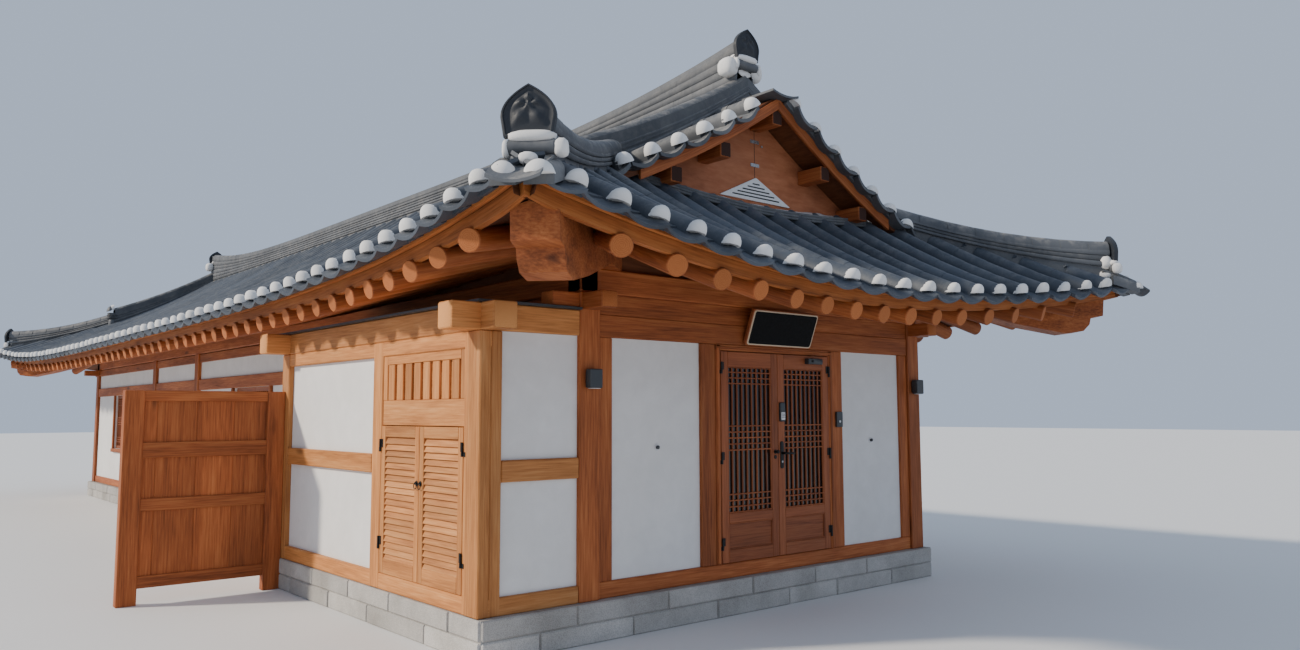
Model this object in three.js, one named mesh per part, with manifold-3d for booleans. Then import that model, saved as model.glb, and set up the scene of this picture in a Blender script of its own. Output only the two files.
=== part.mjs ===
// A hanok: a one-storey Korean timber house with a hip-and-gable tiled roof.
// Millimetres, +Z up. The front door looks along -Y and the long walls run along Y.
// The origin is on the ground under the middle of the plan.
// Every sub-part is one closed mesh with its own name. Lattice bars, roof tiles and
// other fine work are thinner than this model goes.

import * as THREE from 'three';
import { mergeVertices } from 'three/addons/utils/BufferGeometryUtils.js';
import Module from 'manifold-3d';

const wasm = await Module();
wasm.setup();

// Plan
const WIDTH = 4380; // between corner column centres, across the front
const LENGTH = 17600; // between corner column centres, along the side
const HALF_W = WIDTH / 2;
const HALF_L = LENGTH / 2;
const FRONT = -HALF_L;
const HALF_COLUMN = 100; // of a square column
const COLUMN_AT = [0, 5100, 10200, 12800, LENGTH]; // along a long wall, from the front
const GAP = 0.3; // between touching pieces
const LAP = 10; // how far fused members run into each other
const TUCK = 1; // keeps the faces of fused members out of one plane

// Heights
const PLINTH_TOP = 300;
const FLOOR_TOP = 400;
const SILL_TOP = 430;
const DOOR_TOP = 2290;
const PANEL_TOP = 2350; // underside of the front lintel
const LINTEL_TOP = 2530;
const BEAM_TOP = 2700;
const PURLIN_TOP = 2900;
const SIDE_BEAM_BOTTOM = 2560;
const RAIL_BOTTOM = 2120; // side wall rail over the windows
const RAIL_TOP = 2290;

// Walls
const HALF_PANEL = 50; // of the plaster
const HALF_SILL = 75;
const HALF_BEAM = 80;
const HALF_LINTEL = 85;
const HALF_PURLIN = 90;
const APPLIED = 88; // outer face of a rail or window frame, from the wall's middle
const BEAM_END = 250; // beam ends past the corner columns
const CORNER_STUB = [2575, 2690];
const PLINTH_OUT = 150;
const WINDOW_HALF = 750;
const WINDOW_SILL = 1050;
const WINDOW_FRAME = 70;
const WINDOW_BAYS = [1, 3];
const SASH_THICK = 40;
const SASH_EDGE = 60;

// Front doorway: half widths from its middle
const STRIP_INNER = 1950; // timber strip beside each corner column
const JAMB_OUTER = 970;
const JAMB_INNER = 800;
const FRAME_INNER = 746;
const DOOR_FACE = 95; // outer face of the door frame, from the wall's middle

// Door leaves
const LEAF_GAP = 6;
const MEETING_GAP = 5;
const LEAF_THICK = 42;
const STILE = 85;
const TOP_RAIL = 136;
const LATTICE_BOTTOM = 862;
const PANE_BACK = 0.7; // of a leaf's thickness, in from its face
const PANE = 8;
const HINGE_RADIUS = 9;
const HINGE_HALF = 35;
const HINGE_PLATE = 4;
const HINGE_REACH = 38;
const DOOR_HINGES = [620, 1365, 2160];
const LOCK = { width: 66, height: 178, depth: 26, middle: 1750 };
const HANDLE = { width: 46, height: 250, depth: 8, middle: 1353, reach: 52, lever: 120, bar: 16 };

// Board over the front door, leaning out at its top
const NAME_BOARD = { half: 455, low: 2360, high: 2690, lean: 125, thick: 45, tilt: 15 };

// Roof: overhangs of the tile bed past the column centres, and its levels
const EAVE_MID = 1340;
const EAVE_CORNER = 1660;
const EAVE_CORNER_Z = 3120;
const SIDE_EAVE_Z = 2825;
const FRONT_EAVE_Z = 2778;
const RIDGE_MID_Z = 4740;
const RIDGE_END_Z = 4750;
const GABLE_FOOT_Z = 3640;
const HIP_SAG = 0.56; // how hollow a slope is between eave and ridge, along the hip
const SIDE_SAG = 0.35;
const FRONT_SAG = 0.25;
const SIDE_PLAN_BOW = 3; // powers of the bow and the rise of an eave towards its corners
const SIDE_RISE = 5.5;
const FRONT_PLAN_BOW = 2;
const FRONT_RISE = 1.8;
const SUBSTITUTIONS = 40; // that place a plan point on a slope
const VERGE_OUT = 140; // verge past the front column line
const GABLE_IN = 160; // gable wall behind the front column line
const HIP_TOP_X = 1830; // where the hip line meets the gable wall
const HIP_GAP = 6;
const BED_EDGE = 40; // depth of the bed at the eave
const BED_INNER = 80; // and inside the wall line
const SIDE_WALL_Z = 3110; // underside of the bed over the side wall
const FRONT_WALL_Z = 3090;
const WALL_CORNER_Z = 3330;
const SIDE_WALL_ROW = 0.4;
const FRONT_WALL_ROW = 0.9;
const SIDE_ROWS = [0, 0.02, 0.12, 0.26, 0.4, 0.438, 0.6, 0.8, 1];
const FRONT_ROWS = [0, 0.047, 0.28, 0.6, 0.9, 0.93, 1];
const SIDE_BOARD = [0.02, 0.12]; // rows that the eave board runs between
const FRONT_BOARD = [0.047, 0.28];

// Rafters and eave boards
const RAFTER_RADIUS = 80;
const RAFTER_SIDES = 8;
const RAFTER_SETBACK = 30; // rafter end behind the edge of the bed
const RAFTER_INSIDE = 350;
const RAFTER_DROP_INNER = 107; // its inner end under the plane of the bed's underside
// Even ones between -span and span, those of the fan beyond, and the outer end's drop
const SIDE_RAFTERS = { spaces: 45, span: 8790, fan: [9250, 9720], drop: 172 };
const FRONT_RAFTERS = { spaces: 6, span: 1150, fan: [1580, 2010, 2480, 3010], drop: 178 };
const FAN_FROM = 600; // rafters start to fan this far before the corner column
const FAN_CLOSING = 0.3;
const EAVE_BOARD = 102; // thickness of the board on the rafters' ends
const HIP_RAFTER_HALF = 150;
const HIP_RAFTER_DROP = 110; // its top under the same plane
const HIP_RAFTER_SETBACK = 285; // its end behind the corner of the bed, along the hip
const HIP_RAFTER_CLEAR = 6;
const HIP_RAFTER_START = 60;
const HIP_RAFTER_SEAT = 600; // where its underside meets the purlins
// Carved end: distances back from its end, and depths under the top of the end
const HIP_RAFTER_NOSE = [[20, 240], [150, 262], [165, 330], [230, 400], [420, 425], [900, 330]];

// Gable wall, bargeboards along its verge, and purlin ends between the two
const GABLE = {
  half: 1600,
  thick: 60,
  foot: 3420,
  under: 4, // top under the bed
  steps: [150, 400, 700, 1000, 1300],
  boards: [200, 500, 800, 1100, 1400, 1700],
  board: { thick: 28, top: 15, foot: 45, clear: 12 }, // top under the bed's top, foot under its underside
  blocks: { at: [700, 1300], half: 65, height: 140, under: 8, clear: 8 },
};

// Ridges
const RIDGE_HALF = 135;
const RIDGE_MID_TOP = 5130;
const RIDGE_END_TOP = 5460;
const RIDGE_RISE = 4.5; // power of its rise towards the ends
const RIDGE_CAP = 70; // rounding of a ridge's top
const RIDGE_SEAT = 70; // how far a ridge's foot reaches down beside the tile bed
const RIDGE_END_IN = 280; // end of the main ridge behind the front column line
const HIP_RIDGE_HALF = 115;
const DESCENDING_HEIGHT = 330; // at the main ridge, and how much more at its foot
const DESCENDING_MORE = 110;
const DESCENDING_IN = 330; // its centre behind the front column line
const HIP_RIDGE_HEIGHT = 308;
const HIP_RIDGE_CURL = 126;
const HIP_RIDGE_CURL_FROM = 600;
const HIP_RIDGE_END = 180; // its end behind the corner of the bed, along the hip
const HIP_TILE_FOOT = 330; // foot of its end tile below its top
// Distances that the corner ridges are drawn through: from the middle, and along the hip
const DESCENDING_AT = [400, 800, 1200, 1600, 1900, 2060];
const HIP_RIDGE_AT = [-160, 150, 500, 900, 1300, 1700, 2100];
const END_TILE = { half: 165, height: 400, thick: 60, foot: 220 }; // foot below the ridge's top
const CUTTER_LIFT = 400; // height of a tile bed when it trims what stands in it

// Annex at the front of the left wall
const ANNEX_X = -3180; // outer face
const ANNEX_DEPTH = 3850; // behind the front column line
const ANNEX_FRONT = 100; // in front of it
const ANNEX_POST = 190;
const ANNEX_PLINTH_OUT = 50;
const ANNEX_TOP = 2350;
const ANNEX_BEAM_TOP = 2550;
const ANNEX_RAIL = [1245, 1405];
const ANNEX_FACE_IN = 5; // outer face of jambs, head and sills, in from the posts' face
const ANNEX_JAMB = 120; // inner face of the jambs, in from the same face
const ANNEX_MIDDLE_POST = 180;
const ANNEX_BEAM = 200;
const ANNEX_BEAM_FRONT = 180; // its end in front of the front post
const ANNEX_WALL = [50, 130]; // faces of the side panel, in from the posts' face
const ANNEX_END_WALL = [40, 120]; // and of the two end panels
const ANNEX_COVER = { thick: 20, side: 40, end: 30 };
const ANNEX_BEAM_END = 240;
const LOUVER_NEAR = 134; // doorway, measured back from the front column line
const LOUVER_FAR = 1506;
const LOUVER_HEAD = 1650;
const TRANSOM_TOP = 2225;
const TRANSOM_BOARD_TOP = 1855;
const LOUVER_STILE = 70;
const LOUVER_HINGES = [700, 1500];
const LOUVER_LOW = 120; // height of the bottom rail, and of the top one
const LOUVER_TOP = 90;
const LOUVER_FILL = 20;
const TRANSOM = { in: 12, thick: 42, edge: 70, recess: 26 };

// Screen beside the annex
const SCREEN_END = -4650;
const SCREEN_TOP = 1970;
const SCREEN_POST = 170;
const SCREEN_THICK = 100;
const SCREEN_BACK = 10; // its far face in front of the annex's
const SCREEN_RAIL_IN = 15; // rails and boards in from the posts' faces
const SCREEN_BOARD_IN = 40;
const SCREEN_RAILS = [[150, 260], [850, 965], [1340, 1485], [1870, 1970]];

const timber = paint(0xb5622f, 0.7);
const darkTimber = paint(0x8d4a26, 0.75);
const paleTimber = paint(0xc98548, 0.7);
const plaster = paint(0xe9e7e1, 0.9);
const stone = paint(0x9a958c, 0.95);
const tile = paint(0x3c4654, 0.8);
const boarding = paint(0xa5532b, 0.8);
const metal = paint(0x2c2b2a, 0.5, 0.8);
const glass = paint(0x2a2522, 0.15);
const lacquer = paint(0x22201f, 0.6);

const house = new THREE.Group();

function paint(color, roughness, metalness = 0) {
  return new THREE.MeshStandardMaterial({ color, roughness, metalness });
}

function piece(name, geometry, material) {
  const mesh = new THREE.Mesh(geometry, material);
  mesh.name = name;
  house.add(mesh);
}

// Basic solids

function box(x0, x1, y0, y1, z0, z1) {
  const form = new THREE.BoxGeometry(Math.abs(x1 - x0), Math.abs(y1 - y0), Math.abs(z1 - z0));
  return form.translate((x0 + x1) / 2, (y0 + y1) / 2, (z0 + z1) / 2);
}

function bareOf(geometry) {
  const bare = geometry.clone();
  bare.deleteAttribute('normal');
  bare.deleteAttribute('uv');
  return mergeVertices(bare, 1e-3);
}

function solidOf(geometry) {
  const bare = bareOf(geometry);
  const vertProperties = new Float32Array(bare.attributes.position.array);
  const triVerts = new Uint32Array(bare.index.array);
  return new wasm.Manifold(new wasm.Mesh({ numProp: 3, vertProperties, triVerts }));
}

function geometryOf(solid) {
  const mesh = solid.getMesh();
  const form = new THREE.BufferGeometry();
  form.setAttribute('position', new THREE.BufferAttribute(mesh.vertProperties, 3));
  form.setIndex(new THREE.BufferAttribute(mesh.triVerts, 1));
  return form;
}

function join(geometries) {
  return geometryOf(geometries.map(solidOf).reduce((all, next) => all.add(next)));
}

function cut(geometry, tools) {
  return geometryOf(tools.map(solidOf).reduce((rest, tool) => rest.subtract(tool), solidOf(geometry)));
}

function signedArea(points) {
  return THREE.ShapeUtils.area(points);
}

// Closed mesh from points and triangles, turned so that its faces look outwards
function outward(points, triangles) {
  let volume = 0;
  for (const [a, b, c] of triangles) {
    volume += points[a].dot(new THREE.Vector3().crossVectors(points[b], points[c]));
  }
  const faces = volume < 0 ? triangles.map(([a, b, c]) => [a, c, b]) : triangles;
  const form = new THREE.BufferGeometry();
  form.setFromPoints(points);
  form.setIndex(faces.flat());
  return form;
}

// Rings of points joined one to the next; the flat outline tells how to close the ends
function loft(rings, flat) {
  const count = flat.length;
  const triangles = [];
  for (let i = 0; i + 1 < rings.length; i += 1) {
    for (let j = 0; j < count; j += 1) {
      const next = (j + 1) % count;
      const a = i * count + j;
      const b = i * count + next;
      triangles.push([a, b, b + count], [a, b + count, a + count]);
    }
  }
  const last = (rings.length - 1) * count;
  for (const [a, b, c] of THREE.ShapeUtils.triangulateShape(flat, [])) {
    const same = signedArea([flat[a], flat[b], flat[c]]) * signedArea(flat) > 0;
    const [p, q] = same ? [b, c] : [c, b];
    triangles.push([last + a, last + p, last + q], [a, q, p]);
  }
  return outward(rings.flat(), triangles);
}

// Outline in the X-Z plane carried from y0 to y1
function acrossY(outline, y0, y1) {
  const flat = outline.map(([x, z]) => new THREE.Vector2(x, z));
  return loft([y0, y1].map((y) => outline.map(([x, z]) => new THREE.Vector3(x, y, z))), flat);
}

// Outline in the Y-Z plane carried from x0 to x1
function acrossX(outline, x0, x1) {
  const flat = outline.map(([y, z]) => new THREE.Vector2(y, z));
  return loft([x0, x1].map((x) => outline.map(([y, z]) => new THREE.Vector3(x, y, z))), flat);
}

// Plan outline raised from z0 to z1
function raised(outline, z0, z1) {
  const flat = outline.map(([x, y]) => new THREE.Vector2(x, y));
  return loft([z0, z1].map((z) => outline.map(([x, y]) => new THREE.Vector3(x, y, z))), flat);
}

// Sheet with a top and a bottom point at every crossing of rows and columns
function sheet(rows, columns, top, bottom) {
  const points = [];
  for (const surface of [top, bottom]) {
    for (const row of rows) {
      for (const column of columns) points.push(surface(row, column));
    }
  }
  const wide = columns.length;
  const under = rows.length * wide;
  const triangles = [];
  for (let i = 0; i + 1 < rows.length; i += 1) {
    for (let j = 0; j + 1 < wide; j += 1) {
      const a = i * wide + j;
      const c = a + wide + 1;
      triangles.push([a, a + 1, c], [a, c, a + wide]);
      triangles.push([under + a, under + c, under + a + 1], [under + a, under + a + wide, under + c]);
    }
  }
  const edge = [];
  for (let j = 0; j + 1 < wide; j += 1) edge.push(j);
  for (let i = 0; i + 1 < rows.length; i += 1) edge.push(i * wide + wide - 1);
  for (let j = wide - 1; j > 0; j -= 1) edge.push((rows.length - 1) * wide + j);
  for (let i = rows.length - 1; i > 0; i -= 1) edge.push(i * wide);
  edge.forEach((a, k) => {
    const b = edge[(k + 1) % edge.length];
    triangles.push([a, under + a, under + b], [a, under + b, b]);
  });
  return outward(points, triangles);
}

// Round log between two points
function log(start, end, radius, sides) {
  const along = new THREE.Vector3().subVectors(end, start).normalize();
  const across = new THREE.Vector3(0, 0, 1).cross(along).normalize();
  const upward = new THREE.Vector3().crossVectors(along, across);
  const flat = [];
  for (let k = 0; k < sides; k += 1) {
    const angle = ((k + 0.5) / sides) * 2 * Math.PI;
    flat.push(new THREE.Vector2(radius * Math.cos(angle), radius * Math.sin(angle)));
  }
  const ring = (centre) => flat.map((p) => (
    centre.clone().addScaledVector(across, p.x).addScaledVector(upward, p.y)
  ));
  return loft([ring(start), ring(end)], flat);
}

// Base

function buildBase() {
  const side = HALF_W + PLINTH_OUT;
  const end = HALF_L + PLINTH_OUT;
  const annexBack = FRONT + ANNEX_DEPTH + ANNEX_PLINTH_OUT;
  const outline = [
    [ANNEX_X, -end], [side, -end], [side, end], [-side, end], [-side, annexBack], [ANNEX_X, annexBack],
  ];
  piece('foundation', raised(outline, 0, PLINTH_TOP), stone);
  const inX = HALF_W - HALF_COLUMN - GAP;
  const inY = HALF_L - HALF_COLUMN - GAP;
  piece('floor', box(-inX, inX, -inY, inY, PLINTH_TOP + GAP, FLOOR_TOP), paleTimber);
}

// Long walls

function bayMiddle(bay) {
  return FRONT + (COLUMN_AT[bay] + COLUMN_AT[bay + 1]) / 2;
}

function sideFrame(side) {
  const foot = PLINTH_TOP + GAP;
  const end = HALF_L + HALF_COLUMN;
  const members = COLUMN_AT.map((at) => {
    const y = FRONT + at;
    const [x0, x1] = [side * (HALF_W - HALF_COLUMN), side * (HALF_W + HALF_COLUMN)];
    return box(x0, x1, y - HALF_COLUMN, y + HALF_COLUMN, foot, BEAM_TOP);
  });
  const bar = (inner, outer, y0, y1, z0, z1) => {
    members.push(box(side * (HALF_W + inner), side * (HALF_W + outer), y0, y1, z0, z1));
  };
  bar(-HALF_BEAM, HALF_BEAM, -end - BEAM_END, end + BEAM_END, SIDE_BEAM_BOTTOM, BEAM_TOP - LAP);
  bar(-HALF_SILL, HALF_SILL, -end + LAP, end - LAP, foot, SILL_TOP);
  bar(HALF_PANEL + GAP, APPLIED, -HALF_L, HALF_L, RAIL_BOTTOM, RAIL_TOP);
  for (const y of [-HALF_L, HALF_L]) {
    bar(0, HALF_COLUMN + BEAM_END, y - HALF_BEAM, y + HALF_BEAM, ...CORNER_STUB);
  }
  for (const bay of WINDOW_BAYS) {
    const y = bayMiddle(bay);
    const out = WINDOW_HALF + WINDOW_FRAME;
    const low = WINDOW_SILL - WINDOW_FRAME;
    bar(HALF_PANEL + GAP, APPLIED, y - out, y + out, low, WINDOW_SILL);
    bar(HALF_PANEL + GAP, APPLIED, y - out, y - WINDOW_HALF, low + TUCK, RAIL_BOTTOM + LAP);
    bar(HALF_PANEL + GAP, APPLIED, y + WINDOW_HALF, y + out, low + TUCK, RAIL_BOTTOM + LAP);
  }
  return join(members);
}

function sidePanel(side, bay) {
  const y0 = FRONT + COLUMN_AT[bay] + HALF_COLUMN + GAP;
  const y1 = FRONT + COLUMN_AT[bay + 1] - HALF_COLUMN - GAP;
  const [x0, x1] = [side * (HALF_W - HALF_PANEL), side * (HALF_W + HALF_PANEL)];
  const whole = box(x0, x1, y0, y1, SILL_TOP + GAP, SIDE_BEAM_BOTTOM - GAP);
  if (!WINDOW_BAYS.includes(bay)) return whole;
  const y = bayMiddle(bay);
  const [hole0, hole1] = [side * (HALF_W - 2 * HALF_PANEL), side * (HALF_W + 2 * HALF_PANEL)];
  return cut(whole, [box(hole0, hole1, y - WINDOW_HALF, y + WINDOW_HALF, WINDOW_SILL, RAIL_BOTTOM)]);
}

// Sash: a frame round one pane, in the X-Z plane about x = 0
function sash(half, z0, z1) {
  const deep = SASH_THICK / 2;
  const clear = half - SASH_EDGE;
  const hole = box(-clear, clear, -SASH_THICK, SASH_THICK, z0 + SASH_EDGE, z1 - SASH_EDGE);
  const frame = cut(box(-half, half, -deep, deep, z0, z1), [hole]);
  const mullion = box(-SASH_EDGE / 2, SASH_EDGE / 2, -deep + TUCK, deep - TUCK, z0 + LAP, z1 - LAP);
  const pane = box(-half + LAP, half - LAP, -PANE / 2, PANE / 2, z0 + LAP, z1 - LAP);
  return join([frame, mullion, pane]);
}

function buildSideWalls() {
  for (const [name, side] of [['left', -1], ['right', 1]]) {
    piece(`${name}_timber_frame`, sideFrame(side), timber);
    for (let bay = 0; bay + 1 < COLUMN_AT.length; bay += 1) {
      piece(`${name}_panel_${bay + 1}`, sidePanel(side, bay), plaster);
    }
    for (const bay of WINDOW_BAYS) {
      const form = sash(WINDOW_HALF - GAP, WINDOW_SILL + GAP, RAIL_BOTTOM - GAP);
      form.rotateZ(Math.PI / 2).translate(side * HALF_W, bayMiddle(bay), 0);
      piece(`${name}_window_${bay + 1}`, form, darkTimber);
    }
  }
}

// End walls

function endFrame(y, members) {
  const inside = HALF_W - HALF_COLUMN - GAP;
  const foot = PLINTH_TOP + GAP;
  members.push(box(-inside, inside, y - HALF_SILL, y + HALF_SILL, foot, SILL_TOP));
  members.push(box(-inside, inside, y - HALF_LINTEL, y + HALF_LINTEL, PANEL_TOP, LINTEL_TOP));
  members.push(box(-inside, inside, y - HALF_BEAM, y + HALF_BEAM, LINTEL_TOP - TUCK, BEAM_TOP));
  for (const side of [-1, 1]) {
    members.push(box(side * STRIP_INNER, side * inside, y - HALF_SILL, y + HALF_SILL, SILL_TOP - TUCK,
      PANEL_TOP + TUCK));
  }
  return members;
}

function hingeBarrel(z0, z1) {
  const barrel = new THREE.CylinderGeometry(HINGE_RADIUS, HINGE_RADIUS, z1 - z0, 12);
  return barrel.rotateX(Math.PI / 2).translate(0, 0, (z0 + z1) / 2);
}

// Fixed half of each hinge, about its axis; the post lies towards -hand X
function hingeFixed(hand, heights) {
  const face = HINGE_RADIUS + GAP;
  return heights.flatMap((z) => [
    hingeBarrel(z - 2 * HINGE_HALF, z - HINGE_HALF - GAP),
    box(0, -hand * HINGE_REACH, face - HINGE_PLATE, face + TUCK, z - 2 * HINGE_HALF, z - HINGE_HALF - GAP),
  ]);
}

// Door leaf about its hinge axis, outer face towards -Y, opening side towards +hand X
function leaf(hand, width, z0, z1, opening, heights, fill) {
  const face = HINGE_RADIUS + GAP;
  const [near, far] = [hand * (LEAF_GAP / 2), hand * (LEAF_GAP / 2 + width)];
  const whole = box(near, far, face, face + LEAF_THICK, z0, z1);
  const hole = box(near + hand * opening.stile, far - hand * opening.stile, 0, 2 * LEAF_THICK,
    z0 + opening.low, z1 - opening.top);
  const hinges = heights.flatMap((z) => [
    hingeBarrel(z - HINGE_HALF, z + HINGE_HALF),
    box(0, hand * HINGE_REACH, face - HINGE_PLATE, face + TUCK, z - HINGE_HALF, z + HINGE_HALF),
  ]);
  const sheetFill = fill ? [
    box(near + hand * LAP, far - hand * LAP, face + (LEAF_THICK - fill) / 2, face + (LEAF_THICK + fill) / 2,
      z0 + LAP, z1 - LAP),
  ] : [];
  return join([cut(whole, [hole]), ...sheetFill, ...hinges]);
}

function buildFrontWall() {
  const y = FRONT;
  const members = endFrame(y, []);
  for (const side of [-1, 1]) {
    members.push(box(side * JAMB_INNER, side * JAMB_OUTER, y - HALF_LINTEL + TUCK, y + HALF_SILL - TUCK,
      SILL_TOP - TUCK, PANEL_TOP + TUCK));
    members.push(box(side * FRAME_INNER, side * (JAMB_INNER + TUCK), y - DOOR_FACE, y + HALF_SILL - 2 * TUCK,
      SILL_TOP - TUCK, PANEL_TOP - TUCK));
    const panel = box(side * (JAMB_OUTER + GAP), side * (STRIP_INNER - GAP), y - HALF_PANEL, y + HALF_PANEL,
      SILL_TOP + GAP, PANEL_TOP - GAP);
    piece(`front_panel_${side < 0 ? 'left' : 'right'}`, panel, plaster);
    const hinges = hingeFixed(-side, DOOR_HINGES);
    const [axisX, axisY] = doorAxis(side);
    hinges.forEach((form) => members.push(form.translate(axisX, axisY, 0)));
  }
  members.push(box(-JAMB_INNER, JAMB_INNER, y - DOOR_FACE, y + HALF_SILL - 2 * TUCK, DOOR_TOP + LEAF_GAP,
    PANEL_TOP + 2 * TUCK));
  piece('front_timber_frame', join(members), timber);
}

function doorAxis(side) {
  return [side * (FRAME_INNER - LEAF_GAP / 2), FRONT - DOOR_FACE - HINGE_RADIUS - GAP];
}

function buildBackWall() {
  const y = HALF_L;
  const members = endFrame(y, []);
  const [inner, outer] = [y + HALF_PANEL + GAP, y + APPLIED];
  for (const side of [-1, 1]) {
    members.push(box(side * WINDOW_HALF, side * (WINDOW_HALF + WINDOW_FRAME), inner, outer,
      SILL_TOP - LAP, PANEL_TOP + LAP));
  }
  const reach = WINDOW_HALF + LAP;
  members.push(box(-reach, reach, inner, outer - TUCK, RAIL_BOTTOM, RAIL_BOTTOM + WINDOW_FRAME));
  members.push(box(-reach, reach, inner, outer - TUCK, WINDOW_SILL - WINDOW_FRAME, WINDOW_SILL));
  piece('back_timber_frame', join(members), timber);
  const half = STRIP_INNER - GAP;
  const hole = box(-WINDOW_HALF, WINDOW_HALF, y - 2 * HALF_PANEL, y + 2 * HALF_PANEL, WINDOW_SILL, RAIL_BOTTOM);
  const whole = box(-half, half, y - HALF_PANEL, y + HALF_PANEL, SILL_TOP + GAP, PANEL_TOP - GAP);
  piece('back_panel', cut(whole, [hole]), plaster);
  const form = sash(WINDOW_HALF - GAP, WINDOW_SILL + GAP, RAIL_BOTTOM - GAP);
  piece('back_window', form.translate(0, y, 0), darkTimber);
}

function purlinBars(swell) {
  const z0 = BEAM_TOP + GAP - swell;
  const z1 = PURLIN_TOP + swell;
  const half = HALF_PURLIN + swell;
  const bars = [];
  for (const side of [-1, 1]) {
    const [x, y] = [side * HALF_W, side * HALF_L];
    bars.push(box(x - half, x + half, -HALF_L - half, HALF_L + half, z0, z1));
    bars.push(box(-HALF_W - half, HALF_W + half, y - half, y + half, z0, z1));
  }
  return bars;
}

function buildPurlins() {
  piece('eave_purlins', join(purlinBars(0)), darkTimber);
}

// Doors

function buildDoors() {
  const width = FRAME_INNER - LEAF_GAP - MEETING_GAP / 2;
  const z0 = SILL_TOP + LEAF_GAP;
  const opening = { stile: STILE, low: LATTICE_BOTTOM - z0, top: TOP_RAIL };
  for (const side of [-1, 1]) {
    const hand = -side;
    const name = side < 0 ? 'left' : 'right';
    const [axisX, axisY] = doorAxis(side);
    const form = leaf(hand, width, z0, DOOR_TOP, opening, DOOR_HINGES, 0);
    piece(`front_door_${name}`, form.translate(axisX, axisY, 0), darkTimber);
    const inner = hand * (LEAF_GAP / 2 + STILE + GAP);
    const outer = hand * (LEAF_GAP / 2 + width - STILE - GAP);
    const middle = HINGE_RADIUS + GAP + LEAF_THICK * PANE_BACK;
    const pane = box(inner, outer, middle - PANE / 2, middle + PANE / 2, LATTICE_BOTTOM + GAP,
      DOOR_TOP - TOP_RAIL - GAP);
    piece(`front_door_glass_${name}`, pane.translate(axisX, axisY, 0), glass);
  }
  const face = FRONT - DOOR_FACE - GAP;
  const stileMiddle = MEETING_GAP / 2 + STILE / 2;
  const on = (size) => [stileMiddle - size.width / 2, stileMiddle + size.width / 2];
  const [low, high] = [LOCK.middle - LOCK.height / 2, LOCK.middle + LOCK.height / 2];
  piece('door_lock', box(...on(LOCK), face - LOCK.depth, face, low, high), metal);
  const plate = box(...on(HANDLE), face - HANDLE.depth, face, HANDLE.middle - HANDLE.height / 2,
    HANDLE.middle + HANDLE.height / 2);
  const half = HANDLE.bar / 2;
  const neck = box(stileMiddle - half, stileMiddle + half, face - HANDLE.reach, face - TUCK,
    HANDLE.middle + half, HANDLE.middle + 3 * half);
  const lever = box(stileMiddle - half, stileMiddle + HANDLE.lever, face - HANDLE.reach - half,
    face - HANDLE.reach + half, HANDLE.middle + half, HANDLE.middle + 3 * half);
  piece('door_handle', join([plate, neck, lever]), metal);
  const { half: boardHalf, low: boardLow, high: boardHigh, lean, thick, tilt } = NAME_BOARD;
  const back = FRONT - HALF_LINTEL - GAP;
  const outline = [
    [back, boardLow], [back - lean, boardHigh],
    [back - lean - thick, boardHigh - tilt], [back - thick, boardLow - tilt],
  ];
  piece('name_board', acrossX(outline, -boardHalf, boardHalf), lacquer);
}

// Annex

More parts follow.
